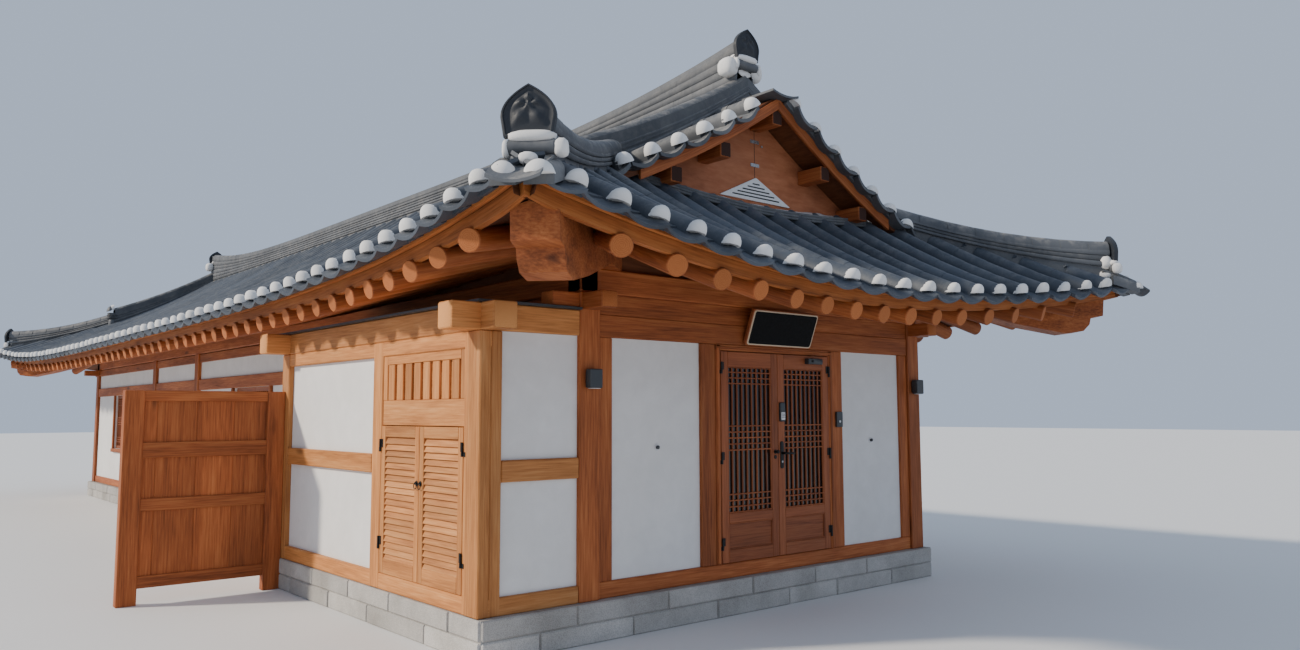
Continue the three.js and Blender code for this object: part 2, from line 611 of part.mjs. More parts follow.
function buildAnnex() {
  const foot = PLINTH_TOP + GAP;
  const wall = -HALF_W - HALF_COLUMN - GAP; // face that meets the main frame
  const near = FRONT - ANNEX_FRONT;
  const far = FRONT + ANNEX_DEPTH;
  const face = ANNEX_X + ANNEX_FACE_IN;
  const jambBack = ANNEX_X + ANNEX_JAMB;
  const inner = ANNEX_X + ANNEX_POST;
  const at = (back) => FRONT + back;
  const [wallOut, wallIn] = ANNEX_WALL;
  const [endOut, endIn] = ANNEX_END_WALL;
  const middlePost = at(LOUVER_FAR) + ANNEX_MIDDLE_POST;
  const members = [
    box(ANNEX_X, inner, near, near + ANNEX_POST, foot, ANNEX_TOP + TUCK),
    box(ANNEX_X, inner, far - ANNEX_POST, far, foot, ANNEX_TOP + TUCK),
    box(face, jambBack, near + ANNEX_POST - LAP, at(LOUVER_NEAR), foot, ANNEX_TOP + TUCK),
    box(face, jambBack, at(LOUVER_FAR), middlePost, foot, ANNEX_TOP + TUCK),
    box(face + TUCK, jambBack - TUCK, near + LAP, far - LAP, TRANSOM_TOP, ANNEX_TOP + 2 * TUCK),
    box(face + 2 * TUCK, jambBack, near + LAP, far - LAP, foot, SILL_TOP),
    box(ANNEX_X + LAP, wall, near + ANNEX_FACE_IN, near + endIn, foot, SILL_TOP),
    box(ANNEX_X + LAP, wall, far - endIn, far - ANNEX_FACE_IN, foot, SILL_TOP),
    box(ANNEX_X, ANNEX_X + ANNEX_BEAM, near - ANNEX_BEAM_FRONT, far, ANNEX_TOP, ANNEX_BEAM_TOP),
    box(ANNEX_X - ANNEX_BEAM_END, wall, near, near + ANNEX_BEAM, ANNEX_TOP, ANNEX_BEAM_TOP - TUCK),
    box(ANNEX_X - ANNEX_BEAM_END, wall, far - ANNEX_BEAM, far - TUCK, ANNEX_TOP, ANNEX_BEAM_TOP - TUCK),
    box(face, ANNEX_X + wallOut - GAP, middlePost - LAP, far - LAP, ...ANNEX_RAIL),
    box(inner - LAP, wall, near + ANNEX_FACE_IN, near + endOut - GAP, ...ANNEX_RAIL),
  ];
  const axisX = face - HINGE_RADIUS - GAP;
  const turn = (form, y) => form.rotateZ(-Math.PI / 2).translate(axisX, y, 0);
  const leaves = [
    { name: 'left', hand: 1, y: at(LOUVER_FAR) - LEAF_GAP / 2 },
    { name: 'right', hand: -1, y: at(LOUVER_NEAR) + LEAF_GAP / 2 },
  ];
  const clear = LOUVER_FAR - LOUVER_NEAR;
  const width = (clear - 2 * LEAF_GAP - MEETING_GAP) / 2;
  const opening = { stile: LOUVER_STILE, low: LOUVER_LOW, top: LOUVER_TOP };
  for (const { name, hand, y } of leaves) {
    hingeFixed(hand, LOUVER_HINGES).forEach((form) => members.push(turn(form, y)));
    const form = leaf(hand, width, SILL_TOP + LEAF_GAP, LOUVER_HEAD - LEAF_GAP, opening, LOUVER_HINGES,
      LOUVER_FILL);
    piece(`louver_door_${name}`, turn(form, y), paleTimber);
  }
  piece('annex_frame', join(members), paleTimber);

  const [t0, t1] = [at(LOUVER_NEAR) + GAP, at(LOUVER_FAR) - GAP];
  const top = TRANSOM_TOP - GAP;
  const [outX, inX] = [face + TRANSOM.in, face + TRANSOM.in + TRANSOM.thick];
  const bars = cut(box(outX, inX, t0, t1, LOUVER_HEAD, top), [
    box(outX - TUCK, outX + TRANSOM.recess, t0 + TRANSOM.edge, t1 - TRANSOM.edge, TRANSOM_BOARD_TOP,
      top - TRANSOM.edge),
  ]);
  piece('annex_transom', bars, paleTimber);

  const panelFoot = SILL_TOP + GAP;
  piece('annex_side_panel', box(ANNEX_X + wallOut, ANNEX_X + wallIn, middlePost + GAP,
    far - ANNEX_POST - GAP, panelFoot, TRANSOM_TOP - GAP), plaster);
  const [panelX0, panelX1] = [inner + GAP, wall - GAP];
  piece('annex_front_panel', box(panelX0, panelX1, near + endOut, near + endIn, panelFoot,
    ANNEX_TOP - GAP), plaster);
  piece('annex_back_panel', box(panelX0, panelX1, far - endIn, far - endOut, panelFoot,
    ANNEX_TOP - GAP), plaster);
  const coverZ = ANNEX_BEAM_TOP + GAP;
  piece('annex_cover', box(ANNEX_X - ANNEX_COVER.side, wall - GAP, near - ANNEX_COVER.end,
    far + ANNEX_COVER.end, coverZ, coverZ + ANNEX_COVER.thick), metal);
}

function buildScreen() {
  const back = FRONT + ANNEX_DEPTH;
  const [y0, y1] = [back - SCREEN_BACK - SCREEN_THICK, back - SCREEN_BACK];
  const end = ANNEX_X - GAP;
  const members = [
    box(SCREEN_END, SCREEN_END + SCREEN_POST, y0, y1, 0, SCREEN_TOP),
    box(end - SCREEN_POST, end, y0, y1, 0, SCREEN_TOP),
    box(SCREEN_END + LAP, end - LAP, y0 + SCREEN_BOARD_IN, y1 - SCREEN_BOARD_IN, SCREEN_RAILS[0][0] + LAP,
      SCREEN_TOP - LAP),
  ];
  for (const [z0, z1] of SCREEN_RAILS) {
    members.push(box(SCREEN_END + LAP, end - LAP, y0 + SCREEN_RAIL_IN, y1 - SCREEN_RAIL_IN, z0, z1 - TUCK));
  }
  piece('side_screen', join(members), timber);
}

// Roof surfaces, for the quarter where x and the distance towards an end are positive.
// A row runs from 0 at the eave to 1 at the ridge or the gable foot, and t from -1 to 1
// along the eave.

function blend(a, b, part) {
  return a + (b - a) * part;
}

function hollow(low, high, row, sag) {
  return blend(low, high, row - sag * row * (1 - row));
}

const CORNER_X = HALF_W + EAVE_CORNER;
const HIP_TOP_ROW = 1 - HIP_TOP_X / CORNER_X;

// Distance along Y of the hip line at a distance x from the middle
function hipY(x) {
  const rise = (EAVE_CORNER + GABLE_IN) / (CORNER_X - HIP_TOP_X);
  return HALF_L - GABLE_IN + (x - HIP_TOP_X) * rise;
}

function hipZ(row) {
  return hollow(EAVE_CORNER_Z, RIDGE_END_Z, row, HIP_SAG);
}

function sideSurface(row, t, swell = 0) {
  const a = Math.abs(t);
  const endX = CORNER_X * (1 - row);
  const midX = (HALF_W + EAVE_MID) * (1 - row);
  const x = Math.max(blend(midX, endX, a ** SIDE_PLAN_BOW), HIP_GAP - swell);
  const endY = Math.max(hipY(endX), HALF_L + VERGE_OUT) - HIP_GAP + swell;
  const rise = a ** SIDE_RISE;
  const level = (at) => blend(hollow(SIDE_EAVE_Z, RIDGE_MID_Z, at, SIDE_SAG), hipZ(at), rise);
  const wallZ = blend(SIDE_WALL_Z, WALL_CORNER_Z, rise);
  const plane = blend(level(0) - BED_EDGE, wallZ, row / SIDE_WALL_ROW);
  const top = level(row);
  const under = row <= SIDE_WALL_ROW ? plane : top - BED_INNER;
  return { x, y: t * endY, top, under, plane };
}

function frontSurface(row, t, swell = 0) {
  const a = Math.abs(t);
  const hipRow = row * HIP_TOP_ROW;
  const endX = CORNER_X * (1 - hipRow);
  const midY = HALF_L + EAVE_MID - row * (EAVE_MID + GABLE_IN);
  const y = blend(midY, hipY(endX), a ** FRONT_PLAN_BOW);
  const rise = a ** FRONT_RISE;
  const middle = (at) => hollow(FRONT_EAVE_Z, GABLE_FOOT_Z, at, FRONT_SAG);
  const level = (at) => blend(middle(at), hipZ(at * HIP_TOP_ROW), rise);
  const wallZ = blend(FRONT_WALL_Z, WALL_CORNER_Z, rise);
  const plane = blend(level(0) - BED_EDGE, wallZ, row / FRONT_WALL_ROW);
  const top = level(row);
  const under = row <= FRONT_WALL_ROW ? plane : top - BED_INNER;
  return { x: t * (endX - HIP_GAP + swell), y, top, under, plane };
}

// Row and t of a plan point, found by repeated substitution
function sideAt(x, y) {
  let row = 0.2;
  let t = y / HALF_L;
  for (let step = 0; step < SUBSTITUTIONS; step += 1) {
    const reach = blend(HALF_W + EAVE_MID, CORNER_X, Math.abs(t) ** SIDE_PLAN_BOW);
    row = 1 - x / reach;
    const endX = CORNER_X * (1 - row);
    t = y / (Math.max(hipY(endX), HALF_L + VERGE_OUT) - HIP_GAP);
  }
  return sideSurface(row, t);
}

function frontAt(x, y) {
  let row = 0.2;
  let t = 0;
  for (let step = 0; step < SUBSTITUTIONS; step += 1) {
    t = x / (CORNER_X * (1 - row * HIP_TOP_ROW) - HIP_GAP);
    const out = blend(EAVE_MID, EAVE_CORNER, Math.abs(t) ** FRONT_PLAN_BOW);
    row = (HALF_L + out - y) / (out + GABLE_IN);
  }
  return frontSurface(row, t);
}

function alongEave(count, bunching) {
  const steps = [];
  for (let k = -count; k <= count; k += 1) {
    const even = Math.abs(k) / count;
    steps.push(Math.sign(k) * (1 - (1 - even) ** bunching));
  }
  return steps;
}

const SIDE_STEPS = alongEave(11, 1.4);
const FRONT_STEPS = alongEave(8, 1.1);

// The four slopes: which surface, and how its x, y and z go into the house's frame
const SLOPES = [
  { name: 'left', surface: sideSurface, at: sideAt, rows: SIDE_ROWS, board: SIDE_BOARD, steps: SIDE_STEPS,
    rafters: SIDE_RAFTERS, place: (x, y, z) => new THREE.Vector3(-x, y, z) },
  { name: 'right', surface: sideSurface, at: sideAt, rows: SIDE_ROWS, board: SIDE_BOARD, steps: SIDE_STEPS,
    rafters: SIDE_RAFTERS, place: (x, y, z) => new THREE.Vector3(x, y, z) },
  { name: 'front', surface: frontSurface, at: frontAt, rows: FRONT_ROWS, board: FRONT_BOARD,
    steps: FRONT_STEPS, rafters: FRONT_RAFTERS, place: (x, y, z) => new THREE.Vector3(x, -y, z) },
  { name: 'back', surface: frontSurface, at: frontAt, rows: FRONT_ROWS, board: FRONT_BOARD,
    steps: FRONT_STEPS, rafters: FRONT_RAFTERS, place: (x, y, z) => new THREE.Vector3(x, y, z) },
];

// Tile bed of a slope. As a cutter it is a little larger in plan, and its top and
// underside are lifted and dropped.
function roofBed(slope, swell = 0, lift = 0, drop = 0) {
  const point = (row, t, level, shift) => {
    const s = slope.surface(row, t, swell);
    return slope.place(s.x, s.y, s[level] + shift);
  };
  const top = (row, t) => point(row, t, 'top', lift);
  const under = (row, t) => point(row, t, 'under', -drop);
  return sheet(slope.rows, slope.steps, top, under);
}

// Board along the eave, on the ends of the rafters
function eaveBoard({ surface, place, steps, board }) {
  const below = (drop) => (row, t) => {
    const s = surface(row, t);
    return place(s.x, s.y, s.under - drop);
  };
  return sheet(board, steps, below(GAP), below(EAVE_BOARD));
}

// Outer and inner end of every rafter of a slope, in plan, before it is placed
function rafterLines(slope) {
  const alongSide = slope.surface === sideSurface;
  const corner = alongSide ? HALF_L : HALF_W;
  const wall = alongSide ? HALF_W : HALF_L;
  const { spaces, span, fan: beyond } = slope.rafters;
  const even = Array.from({ length: spaces + 1 }, (_, k) => span * ((2 * k) / spaces - 1));
  const fan = corner - FAN_FROM;
  const lines = [];
  for (const outer of [...beyond.map((d) => -d), ...even, ...beyond]) {
    const past = Math.max(Math.abs(outer) - fan, 0);
    const inner = Math.sign(outer) * Math.min(Math.abs(outer), fan + past * FAN_CLOSING);
    const eave = edgeOut(alongSide, outer) - RAFTER_SETBACK;
    const ends = [[outer, wall + eave], [inner, wall - RAFTER_INSIDE]];
    lines.push(alongSide ? ends.map(([along, out]) => [out, along]) : ends);
  }
  return lines;
}

// Overhang of the bed at a distance along the wall
function edgeOut(alongSide, along) {
  const corner = (alongSide ? HALF_L : HALF_W) + EAVE_CORNER;
  const bow = alongSide ? SIDE_PLAN_BOW : FRONT_PLAN_BOW;
  return blend(EAVE_MID, EAVE_CORNER, Math.min(Math.abs(along) / corner, 1) ** bow);
}

// Everything on the far side of a hip line from a slope, less half the hip rafter
function pastHip(slope) {
  const alongSide = slope.surface === sideSurface;
  const far = LENGTH;
  const dx = CORNER_X - HIP_TOP_X;
  const dy = EAVE_CORNER + GABLE_IN;
  const length = Math.hypot(dx, dy);
  const shift = (HIP_RAFTER_HALF + HIP_RAFTER_CLEAR) * (alongSide ? 1 : -1);
  const across = [(dy / length) * shift, (-dx / length) * shift];
  const start = [HIP_TOP_X - dx + across[0], HALF_L - GABLE_IN - dy + across[1]];
  const end = [CORNER_X + dx + across[0], HALF_L + EAVE_CORNER + dy + across[1]];
  const away = alongSide ? [-far, far] : [far, -far];
  const outline = [start, end, [end[0] + away[0], end[1] + away[1]], [start[0] + away[0], start[1] + away[1]]];
  const mirrors = alongSide ? [[1, 1], [1, -1]] : [[1, 1], [-1, 1]];
  return mirrors.map(([mx, my]) => {
    const placed = outline.map(([x, y]) => {
      const p = slope.place(x * mx, y * my, 0);
      return [p.x, p.y];
    });
    return raised(placed, PLINTH_TOP, RIDGE_END_Z);
  });
}

function rafters(slope) {
  const logs = rafterLines(slope).map((line) => {
    const [outer, inner] = line.map(([x, y], end) => {
      const s = slope.at(x, y);
      return slope.place(x, y, s.plane - [slope.rafters.drop, RAFTER_DROP_INNER][end]);
    });
    return log(outer, inner, RAFTER_RADIUS, RAFTER_SIDES);
  });
  const trimmed = cut(join(logs), [...pastHip(slope), ...purlinBars(GAP)]);
  const ends = CORNERS.filter((corner) => corner.slopes.includes(slope.name));
  const hips = ends.map((corner) => hipRafterAt(corner, GAP));
  return cut(join([trimmed, eaveBoard(slope)]), hips);
}

// Hip rafter for the quarter where x and y are positive: an outline of distance along
// the hip line and height, given its thickness
function hipRafter(swell) {
  const dx = CORNER_X - HIP_TOP_X;
  const dy = EAVE_CORNER + GABLE_IN;
  const run = Math.hypot(dx, dy);
  const underAt = (d) => {
    const row = 1 - (HIP_TOP_X + (dx * d) / run) / CORNER_X;
    const part = row / (FRONT_WALL_ROW * HIP_TOP_ROW);
    return blend(EAVE_CORNER_Z - BED_EDGE, WALL_CORNER_Z, part) - HIP_RAFTER_DROP + swell / 2;
  };
  const foot = PURLIN_TOP + GAP;
  const end = run - HIP_RAFTER_SETBACK + swell;
  const tip = underAt(end);
  const outline = [
    [HIP_RAFTER_START, underAt(HIP_RAFTER_START)], [end, tip],
    ...HIP_RAFTER_NOSE.map(([back, depth]) => [end - back, tip - depth]),
    [HIP_RAFTER_SEAT, foot], [HIP_RAFTER_START, foot],
  ];
  const flat = outline.map(([d, z]) => new THREE.Vector2(d, z));
  const half = HIP_RAFTER_HALF + swell;
  const rings = [-half, half].map((off) => outline.map(([d, z]) => new THREE.Vector3(
    HIP_TOP_X + (dx * d - dy * off) / run,
    HALF_L - GABLE_IN + (dy * d + dx * off) / run,
    z,
  )));
  return { rings, flat };
}

const CORNERS = [
  { name: 'front_left', mx: -1, my: -1, slopes: ['front', 'left'] },
  { name: 'front_right', mx: 1, my: -1, slopes: ['front', 'right'] },
  { name: 'back_left', mx: -1, my: 1, slopes: ['back', 'left'] },
  { name: 'back_right', mx: 1, my: 1, slopes: ['back', 'right'] },
];

function slopesNamed(names) {
  return SLOPES.filter((slope) => names.includes(slope.name));
}

function mirrored(rings, corner) {
  return rings.map((ring) => ring.map((p) => new THREE.Vector3(p.x * corner.mx, p.y * corner.my, p.z)));
}

// Hip rafter of a corner, let in under the beds that it carries
function hipRafterAt(corner, swell) {
  const { rings, flat } = hipRafter(swell);
  const drop = HIP_RAFTER_DROP - swell / 2;
  const over = slopesNamed(corner.slopes).map((slope) => roofBed(slope, GAP, 0, drop));
  return cut(loft(mirrored(rings, corner), flat), over);
}

function buildRoof() {
  for (const slope of SLOPES) {
    const alongSide = slope.surface === sideSurface;
    const bed = roofBed(slope);
    const sides = slopesNamed(['left', 'right']).map((side) => roofBed(side, TUCK, CUTTER_LIFT, TUCK));
    piece(`roof_${slope.name}`, alongSide ? bed : cut(bed, sides), boarding);
    piece(`rafters_${slope.name}`, rafters(slope), timber);
  }
  for (const corner of CORNERS) {
    piece(`hip_rafter_${corner.name}`, hipRafterAt(corner, 0), timber);
  }
}

// Gables

function bothWays(distances) {
  return [...distances.map((d) => -d).reverse(), 0, ...distances];
}

function buildGables() {
  const { half, thick, foot, steps, boards, board, blocks } = GABLE;
  const wallFace = HALF_L - GABLE_IN - GAP;
  const wallBack = wallFace - thick;
  const wallTop = bothWays([...steps, half]).map((x) => [x, sideAt(Math.abs(x), wallBack).under - GABLE.under]);
  const wall = [[-half, foot], ...wallTop, [half, foot]];

  const boardIn = HALF_L + VERGE_OUT - HIP_GAP + GAP;
  const boardOut = boardIn + board.thick;
  const overFront = (x, y, clear) => frontAt(Math.abs(x), y).top + clear;
  const edges = bothWays(boards).map((x) => {
    const bed = sideAt(Math.abs(x), boardIn);
    const foot = Math.max(bed.under - board.foot, overFront(x, boardIn, board.clear));
    return { x, top: bed.top - board.top, foot };
  });
  const upper = edges.map(({ x, top }) => [x, top]);
  const lower = edges.map(({ x, foot: z }) => [x, z]).reverse();
  const ends = bothWays(blocks.at).map((x) => {
    const out = Math.abs(x) + blocks.half;
    const high = sideAt(out, wallFace).under - blocks.under;
    const low = Math.max(high - blocks.height, overFront(out, HALF_L - GABLE_IN, blocks.clear));
    return box(x - blocks.half, x + blocks.half, wallFace + GAP, boardIn + LAP, low, high);
  });
  const barge = join([acrossY([...upper, ...lower], boardIn, boardOut), ...ends]);
  for (const [name, turn] of [['front', Math.PI], ['back', 0]]) {
    piece(`gable_wall_${name}`, acrossY(wall, wallBack, wallFace).rotateZ(turn), boarding);
    piece(`bargeboards_${name}`, barge.clone().rotateZ(turn), timber);
  }
}

// Ridges

// Section of a ridge with a rounded top
function ridgeSection(half, foot, top) {
  const cap = RIDGE_CAP;
  return [
    [half, foot], [half, top - cap], [half * 0.72, top - cap * 0.3], [half * 0.3, top],
    [-half * 0.3, top], [-half * 0.72, top - cap * 0.3], [-half, top - cap], [-half, foot],
  ];
}

// A ridge is cut away where it would run into the tile bed that it rides on
function seated(form, names) {
  return cut(form, slopesNamed(names).map((slope) => roofBed(slope, GAP, GAP, CUTTER_LIFT)));
}

function flatOf(section) {
  return section.map(([a, z]) => new THREE.Vector2(a, z));
}

// Upright shield with a pointed arch, in a plane across the ridge
function endTileOutline(base) {
  const { half, height } = END_TILE;
  const points = [[-half * 0.94, base], [half * 0.94, base], [half, base + height * 0.35]];
  const arch = [[0.92, 0.6], [0.72, 0.8], [0.4, 0.94], [0, 1], [-0.4, 0.94], [-0.72, 0.8], [-0.92, 0.6]];
  arch.forEach(([u, v]) => points.push([half * u, base + height * v]));
  points.push([-half, base + height * 0.35]);
  return points;
}

function mainRidge() {
  const end = HALF_L - RIDGE_END_IN;
  const rings = [];
  const steps = alongEave(9, 1.3);
  let flat = null;
  for (const s of steps) {
    const y = s * end;
    const top = blend(RIDGE_MID_TOP, RIDGE_END_TOP, Math.abs(s) ** RIDGE_RISE);
    const section = ridgeSection(RIDGE_HALF, sideAt(0, y).top - RIDGE_SEAT, top);
    flat = flat ?? flatOf(section);
    rings.push(section.map(([x, z]) => new THREE.Vector3(x, y, z)));
  }
  const tileFoot = RIDGE_END_TOP - END_TILE.foot;
  const tiles = [-1, 1].map((side) => {
    const inner = side * (end - LAP);
    return acrossY(endTileOutline(tileFoot), inner, inner + side * END_TILE.thick);
  });
  return join([seated(loft(rings, flat), ['left', 'right']), ...tiles]);
}

// Descending ridge along the verge and hip ridge out to the corner, for the quarter
// where x and y are positive
function cornerRidge() {
  const y = HALF_L - DESCENDING_IN;
  const half = HIP_RIDGE_HALF;
  const descending = [RIDGE_HALF + GAP, ...DESCENDING_AT].map((x) => {
    const base = sideAt(x, y).top;
    const height = DESCENDING_HEIGHT + (DESCENDING_MORE * x) / DESCENDING_AT.at(-1);
    const section = ridgeSection(half, base - RIDGE_SEAT, base + height);
    return section.map(([a, z]) => new THREE.Vector3(x, y + a, z));
  });
  const dx = CORNER_X - HIP_TOP_X;
  const dy = EAVE_CORNER + GABLE_IN;
  const run = Math.hypot(dx, dy);
  const last = run - HIP_RIDGE_END;
  const hip = [...HIP_RIDGE_AT, last].map((d) => {
    const x = HIP_TOP_X + (dx * d) / run;
    const along = HALF_L - GABLE_IN + (dy * d) / run;
    const base = hipZ(1 - x / CORNER_X);
    const curled = Math.max((d - HIP_RIDGE_CURL_FROM) / (last - HIP_RIDGE_CURL_FROM), 0);
    const curl = HIP_RIDGE_CURL * curled ** 2;
    const section = ridgeSection(half, base - RIDGE_SEAT, base + HIP_RIDGE_HEIGHT + curl);
    return section.map(([a, z]) => new THREE.Vector3(x - (dy * a) / run, along + (dx * a) / run, z));
  });
  const flat = flatOf(ridgeSection(half, 0, DESCENDING_HEIGHT));
  const tileAt = (HIP_RIDGE_END * dx) / run / CORNER_X;
  const tileBase = hipZ(tileAt) + HIP_RIDGE_HEIGHT + HIP_RIDGE_CURL - HIP_TILE_FOOT;
  const shield = endTileOutline(tileBase);
  const tileRings = [last - LAP, last - LAP + END_TILE.thick].map((d) => shield.map(([a, z]) => (
    new THREE.Vector3(HIP_TOP_X + (dx * d - dy * a) / run, HALF_L - GABLE_IN + (dy * d + dx * a) / run, z)
  )));
  return [
    { rings: descending, flat },
    { rings: hip, flat },
    { rings: tileRings, flat: flatOf(shield) },
  ];
}

function buildRidges() {
  piece('main_ridge', mainRidge(), tile);
  const parts = cornerRidge();
  for (const corner of CORNERS) {
    const forms = parts.map(({ rings, flat }) => loft(mirrored(rings, corner), flat));
    piece(`corner_ridge_${corner.name}`, seated(join(forms), corner.slopes), tile);
  }
}

buildBase();
buildSideWalls();
buildFrontWall();
buildBackWall();
buildPurlins();
buildDoors();
buildAnnex();
buildScreen();
buildRoof();
buildGables();
buildRidges();

export default house;
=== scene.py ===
"""Looks of a hanok: timbers, lattice doors, plaster, a tiled hip-and-gable roof and its ridges.

Metres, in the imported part's own frame: +Z up, front door towards -Y, origin on the ground
under the middle of the plan. Shapes are worked out with numpy as whole arrays.
"""

import bpy
import numpy as np
from mathutils import Matrix, Vector


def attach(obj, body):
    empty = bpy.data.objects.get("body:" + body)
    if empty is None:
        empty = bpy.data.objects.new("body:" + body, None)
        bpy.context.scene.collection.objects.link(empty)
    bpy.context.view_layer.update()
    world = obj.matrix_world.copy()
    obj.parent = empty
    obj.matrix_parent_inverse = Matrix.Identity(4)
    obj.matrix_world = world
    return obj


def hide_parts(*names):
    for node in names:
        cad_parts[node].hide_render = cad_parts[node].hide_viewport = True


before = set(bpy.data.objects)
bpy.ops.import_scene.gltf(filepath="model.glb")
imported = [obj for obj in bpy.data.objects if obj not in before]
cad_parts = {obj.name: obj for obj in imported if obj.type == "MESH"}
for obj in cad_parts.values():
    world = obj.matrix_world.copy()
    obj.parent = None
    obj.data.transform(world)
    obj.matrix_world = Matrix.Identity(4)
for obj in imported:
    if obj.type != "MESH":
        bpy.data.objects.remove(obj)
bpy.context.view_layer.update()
rng = np.random.default_rng(11)

# Plan and heights
HALF_W = 2.19
HALF_L = 8.8
FRONT = -HALF_L
COLUMN = 0.1  # half a column's side
COLUMN_AT = FRONT + np.array([0, 5.1, 10.2, 12.8, 17.6])
BASE_TOP = 0.3
SILL_TOP = 0.43
PANEL_TOP = 2.35
LINTEL_TOP = 2.53
BEAM_TOP = 2.7
PURLIN_TOP = 2.9
SIDE_BEAM_LOW = 2.56
RAIL = (2.12, 2.29)
APPLIED_BACK = 0.051  # back and face of rails and window frames from the wall's middle
APPLIED = 0.088
BEAM_END = 0.25
WINDOW_BAYS = (1, 3)
WINDOW_HALF = 0.75
WINDOW_LOW = 1.05
WINDOW_FRAME = 0.07

# Roof bed
EAVE_MID = 1.34
EAVE_CORNER = 1.66
CORNER_Z = 3.12
SIDE_EAVE_Z = 2.825
FRONT_EAVE_Z = 2.778
RIDGE_MID_Z = 4.74
RIDGE_END_Z = 4.75
GABLE_FOOT_Z = 3.64
HIP_SAG = 0.56
SIDE_SAG = 0.35
FRONT_SAG = 0.25
VERGE = HALF_L + 0.14
GABLE = HALF_L - 0.16
HIP_TOP_X = 1.83
BED_EDGE = 0.04
SIDE_WALL_Z = 3.11
FRONT_WALL_Z = 3.09
WALL_CORNER_Z = 3.33
SIDE_WALL_ROW = 0.4
FRONT_WALL_ROW = 0.9
CORNER_X = HALF_W + EAVE_CORNER
HIP_RISE = (HALF_L + EAVE_CORNER - GABLE) / (CORNER_X - HIP_TOP_X)
HIP_TOP_ROW = 1 - HIP_TOP_X / CORNER_X

# Tiles
PITCH = 0.36
SIDE_ROWS = (-10.47, 10.47, 59)  # first and last row of round tiles and their number
FRONT_ROWS = (-3.869, 3.744, 22)
ROUND_HALF = 0.08
ROUND_RISE = 0.094
ROUND_LENGTH = 0.31
ROUND_FLARE = 0.014
HOLLOW_SAG = 0.055
HOLLOW_LENGTH = 0.2
HOLLOW_THICK = 0.022
HOLLOW_STEP = 0.013  # a tile's lower end over its upper one
EAVE_TIP = 0.165  # reach of the lowest hollow tiles past the bed
PLUG_OUT = 0.06  # face of the plaster plugs past the bed
PLUG_SWELL = 0.07
ROUND_LIFT = 0.03  # springing of the round tiles over the bed
HOLLOW_LIFT = 0.005
TIP_LIFT = -0.014  # the lowest hollow tile hangs
VERGE_PITCH = 0.305
VERGE_ROWS = ((-1, 0.365, 6), (1, 0.15, 7))  # side, first row from the ridge, and number of rows

# Ridges
RIDGE_HALF = 0.135
RIDGE_END = HALF_L - 0.28
DESCENDING_Y = HALF_L - 0.33
DESCENDING_FOOT = 2.1  # x of its lower end
HIP_RIDGE_HALF = 0.115
CORNERS = [(-1, -1, "front_left"), (1, -1, "front_right"), (-1, 1, "back_left"), (1, 1, "back_right")]
ENDS = ((-1, "front"), (1, "back"))

# Eave boards and rafters
MITRE_FROM = 0.3  # from the corner
EAVE_BOARD = 0.102  # depth of the eave board under the bed
EAVE_BOARD_IN = 0.045  # its face from the bed's edge
PLANK = 0.018
RAFTER_RADIUS = 0.08
RAFTER_SETBACK = 0.03
RAFTER_DROP_INNER = 0.107  # axis under the bed at the inner end
# Drop at the outer end, half the run of even spaces, their number, and the places of the fan
SIDE_RAFTERS = (0.172, 8.79, 45, [9.25, 9.72])
FRONT_RAFTERS = (0.178, 1.15, 6, [1.58, 2.01, 2.48, 3.01])
FAN_FROM = 0.6
HIP_RAFTER_HALF = 0.15

# Front door and name board
DOOR_LOW = 0.436
DOOR_TOP = 2.29
DOOR_FACE = 0.095  # from the wall's middle
DOOR_STILE = 0.085
DOOR_BANDS = np.array([0.048, 0.098, 0.148, 0.528, 0.581, 0.634, 0.687, 0.74, 1.13, 1.184, 1.238])
FRAME_INNER = 0.746
HINGE_X = 0.743
HINGE_OUT = 0.0093  # axis of a hinge from the leaf's face
HINGE_Y = FRONT - DOOR_FACE - HINGE_OUT
DOOR_HINGES = np.array([0.62, 1.365, 2.16])
FIXED_BARREL, LEAF_BARREL = (-0.07, -0.0353), (-0.035, 0.035)
FITTING_X = 0.045
BOARD_RISE = np.array([0, -0.125, 0.33])

# Annex
ANNEX_X = -3.18
ANNEX_NEAR = FRONT - 0.1
ANNEX_FAR = FRONT + 3.85
ANNEX_TOP = 2.35
ANNEX_PLATE = 2.55
ANNEX_RAIL = (1.245, 1.405)
LOUVER_NEAR = FRONT + 0.134
LOUVER_FAR = FRONT + 1.506
LOUVER_HEAD = 1.65
LOUVER_STILE = 0.07
LOUVER_FACE = ANNEX_X + 0.005
TRANSOM_LOW = 1.855
TRANSOM_TOP = 2.225
LOUVER_AXIS = LOUVER_FACE - HINGE_OUT
LOUVER_HINGES = np.array([0.7, 1.5])
SCREEN_X = -4.65
SCREEN_TOP = 1.97

# Gables
GABLE_FACE = GABLE - 0.0003
VENT_APEX, VENT_FOOT, VENT_HALF = 4.017, 3.787, 0.495

# Light and camera, angles in degrees
KEY_AZIMUTH = 150  # of the light's source, from +X towards +Y
KEY_HEIGHT = 29
CAMERA_AT = (-6.716, -14.895, 1.75)
HEADING = 49.367  # from +X towards +Y
LOOK_UP = 5.2313
ROLL = -0.1675

UP = np.array([0, 0, 1.0])


# Meshes


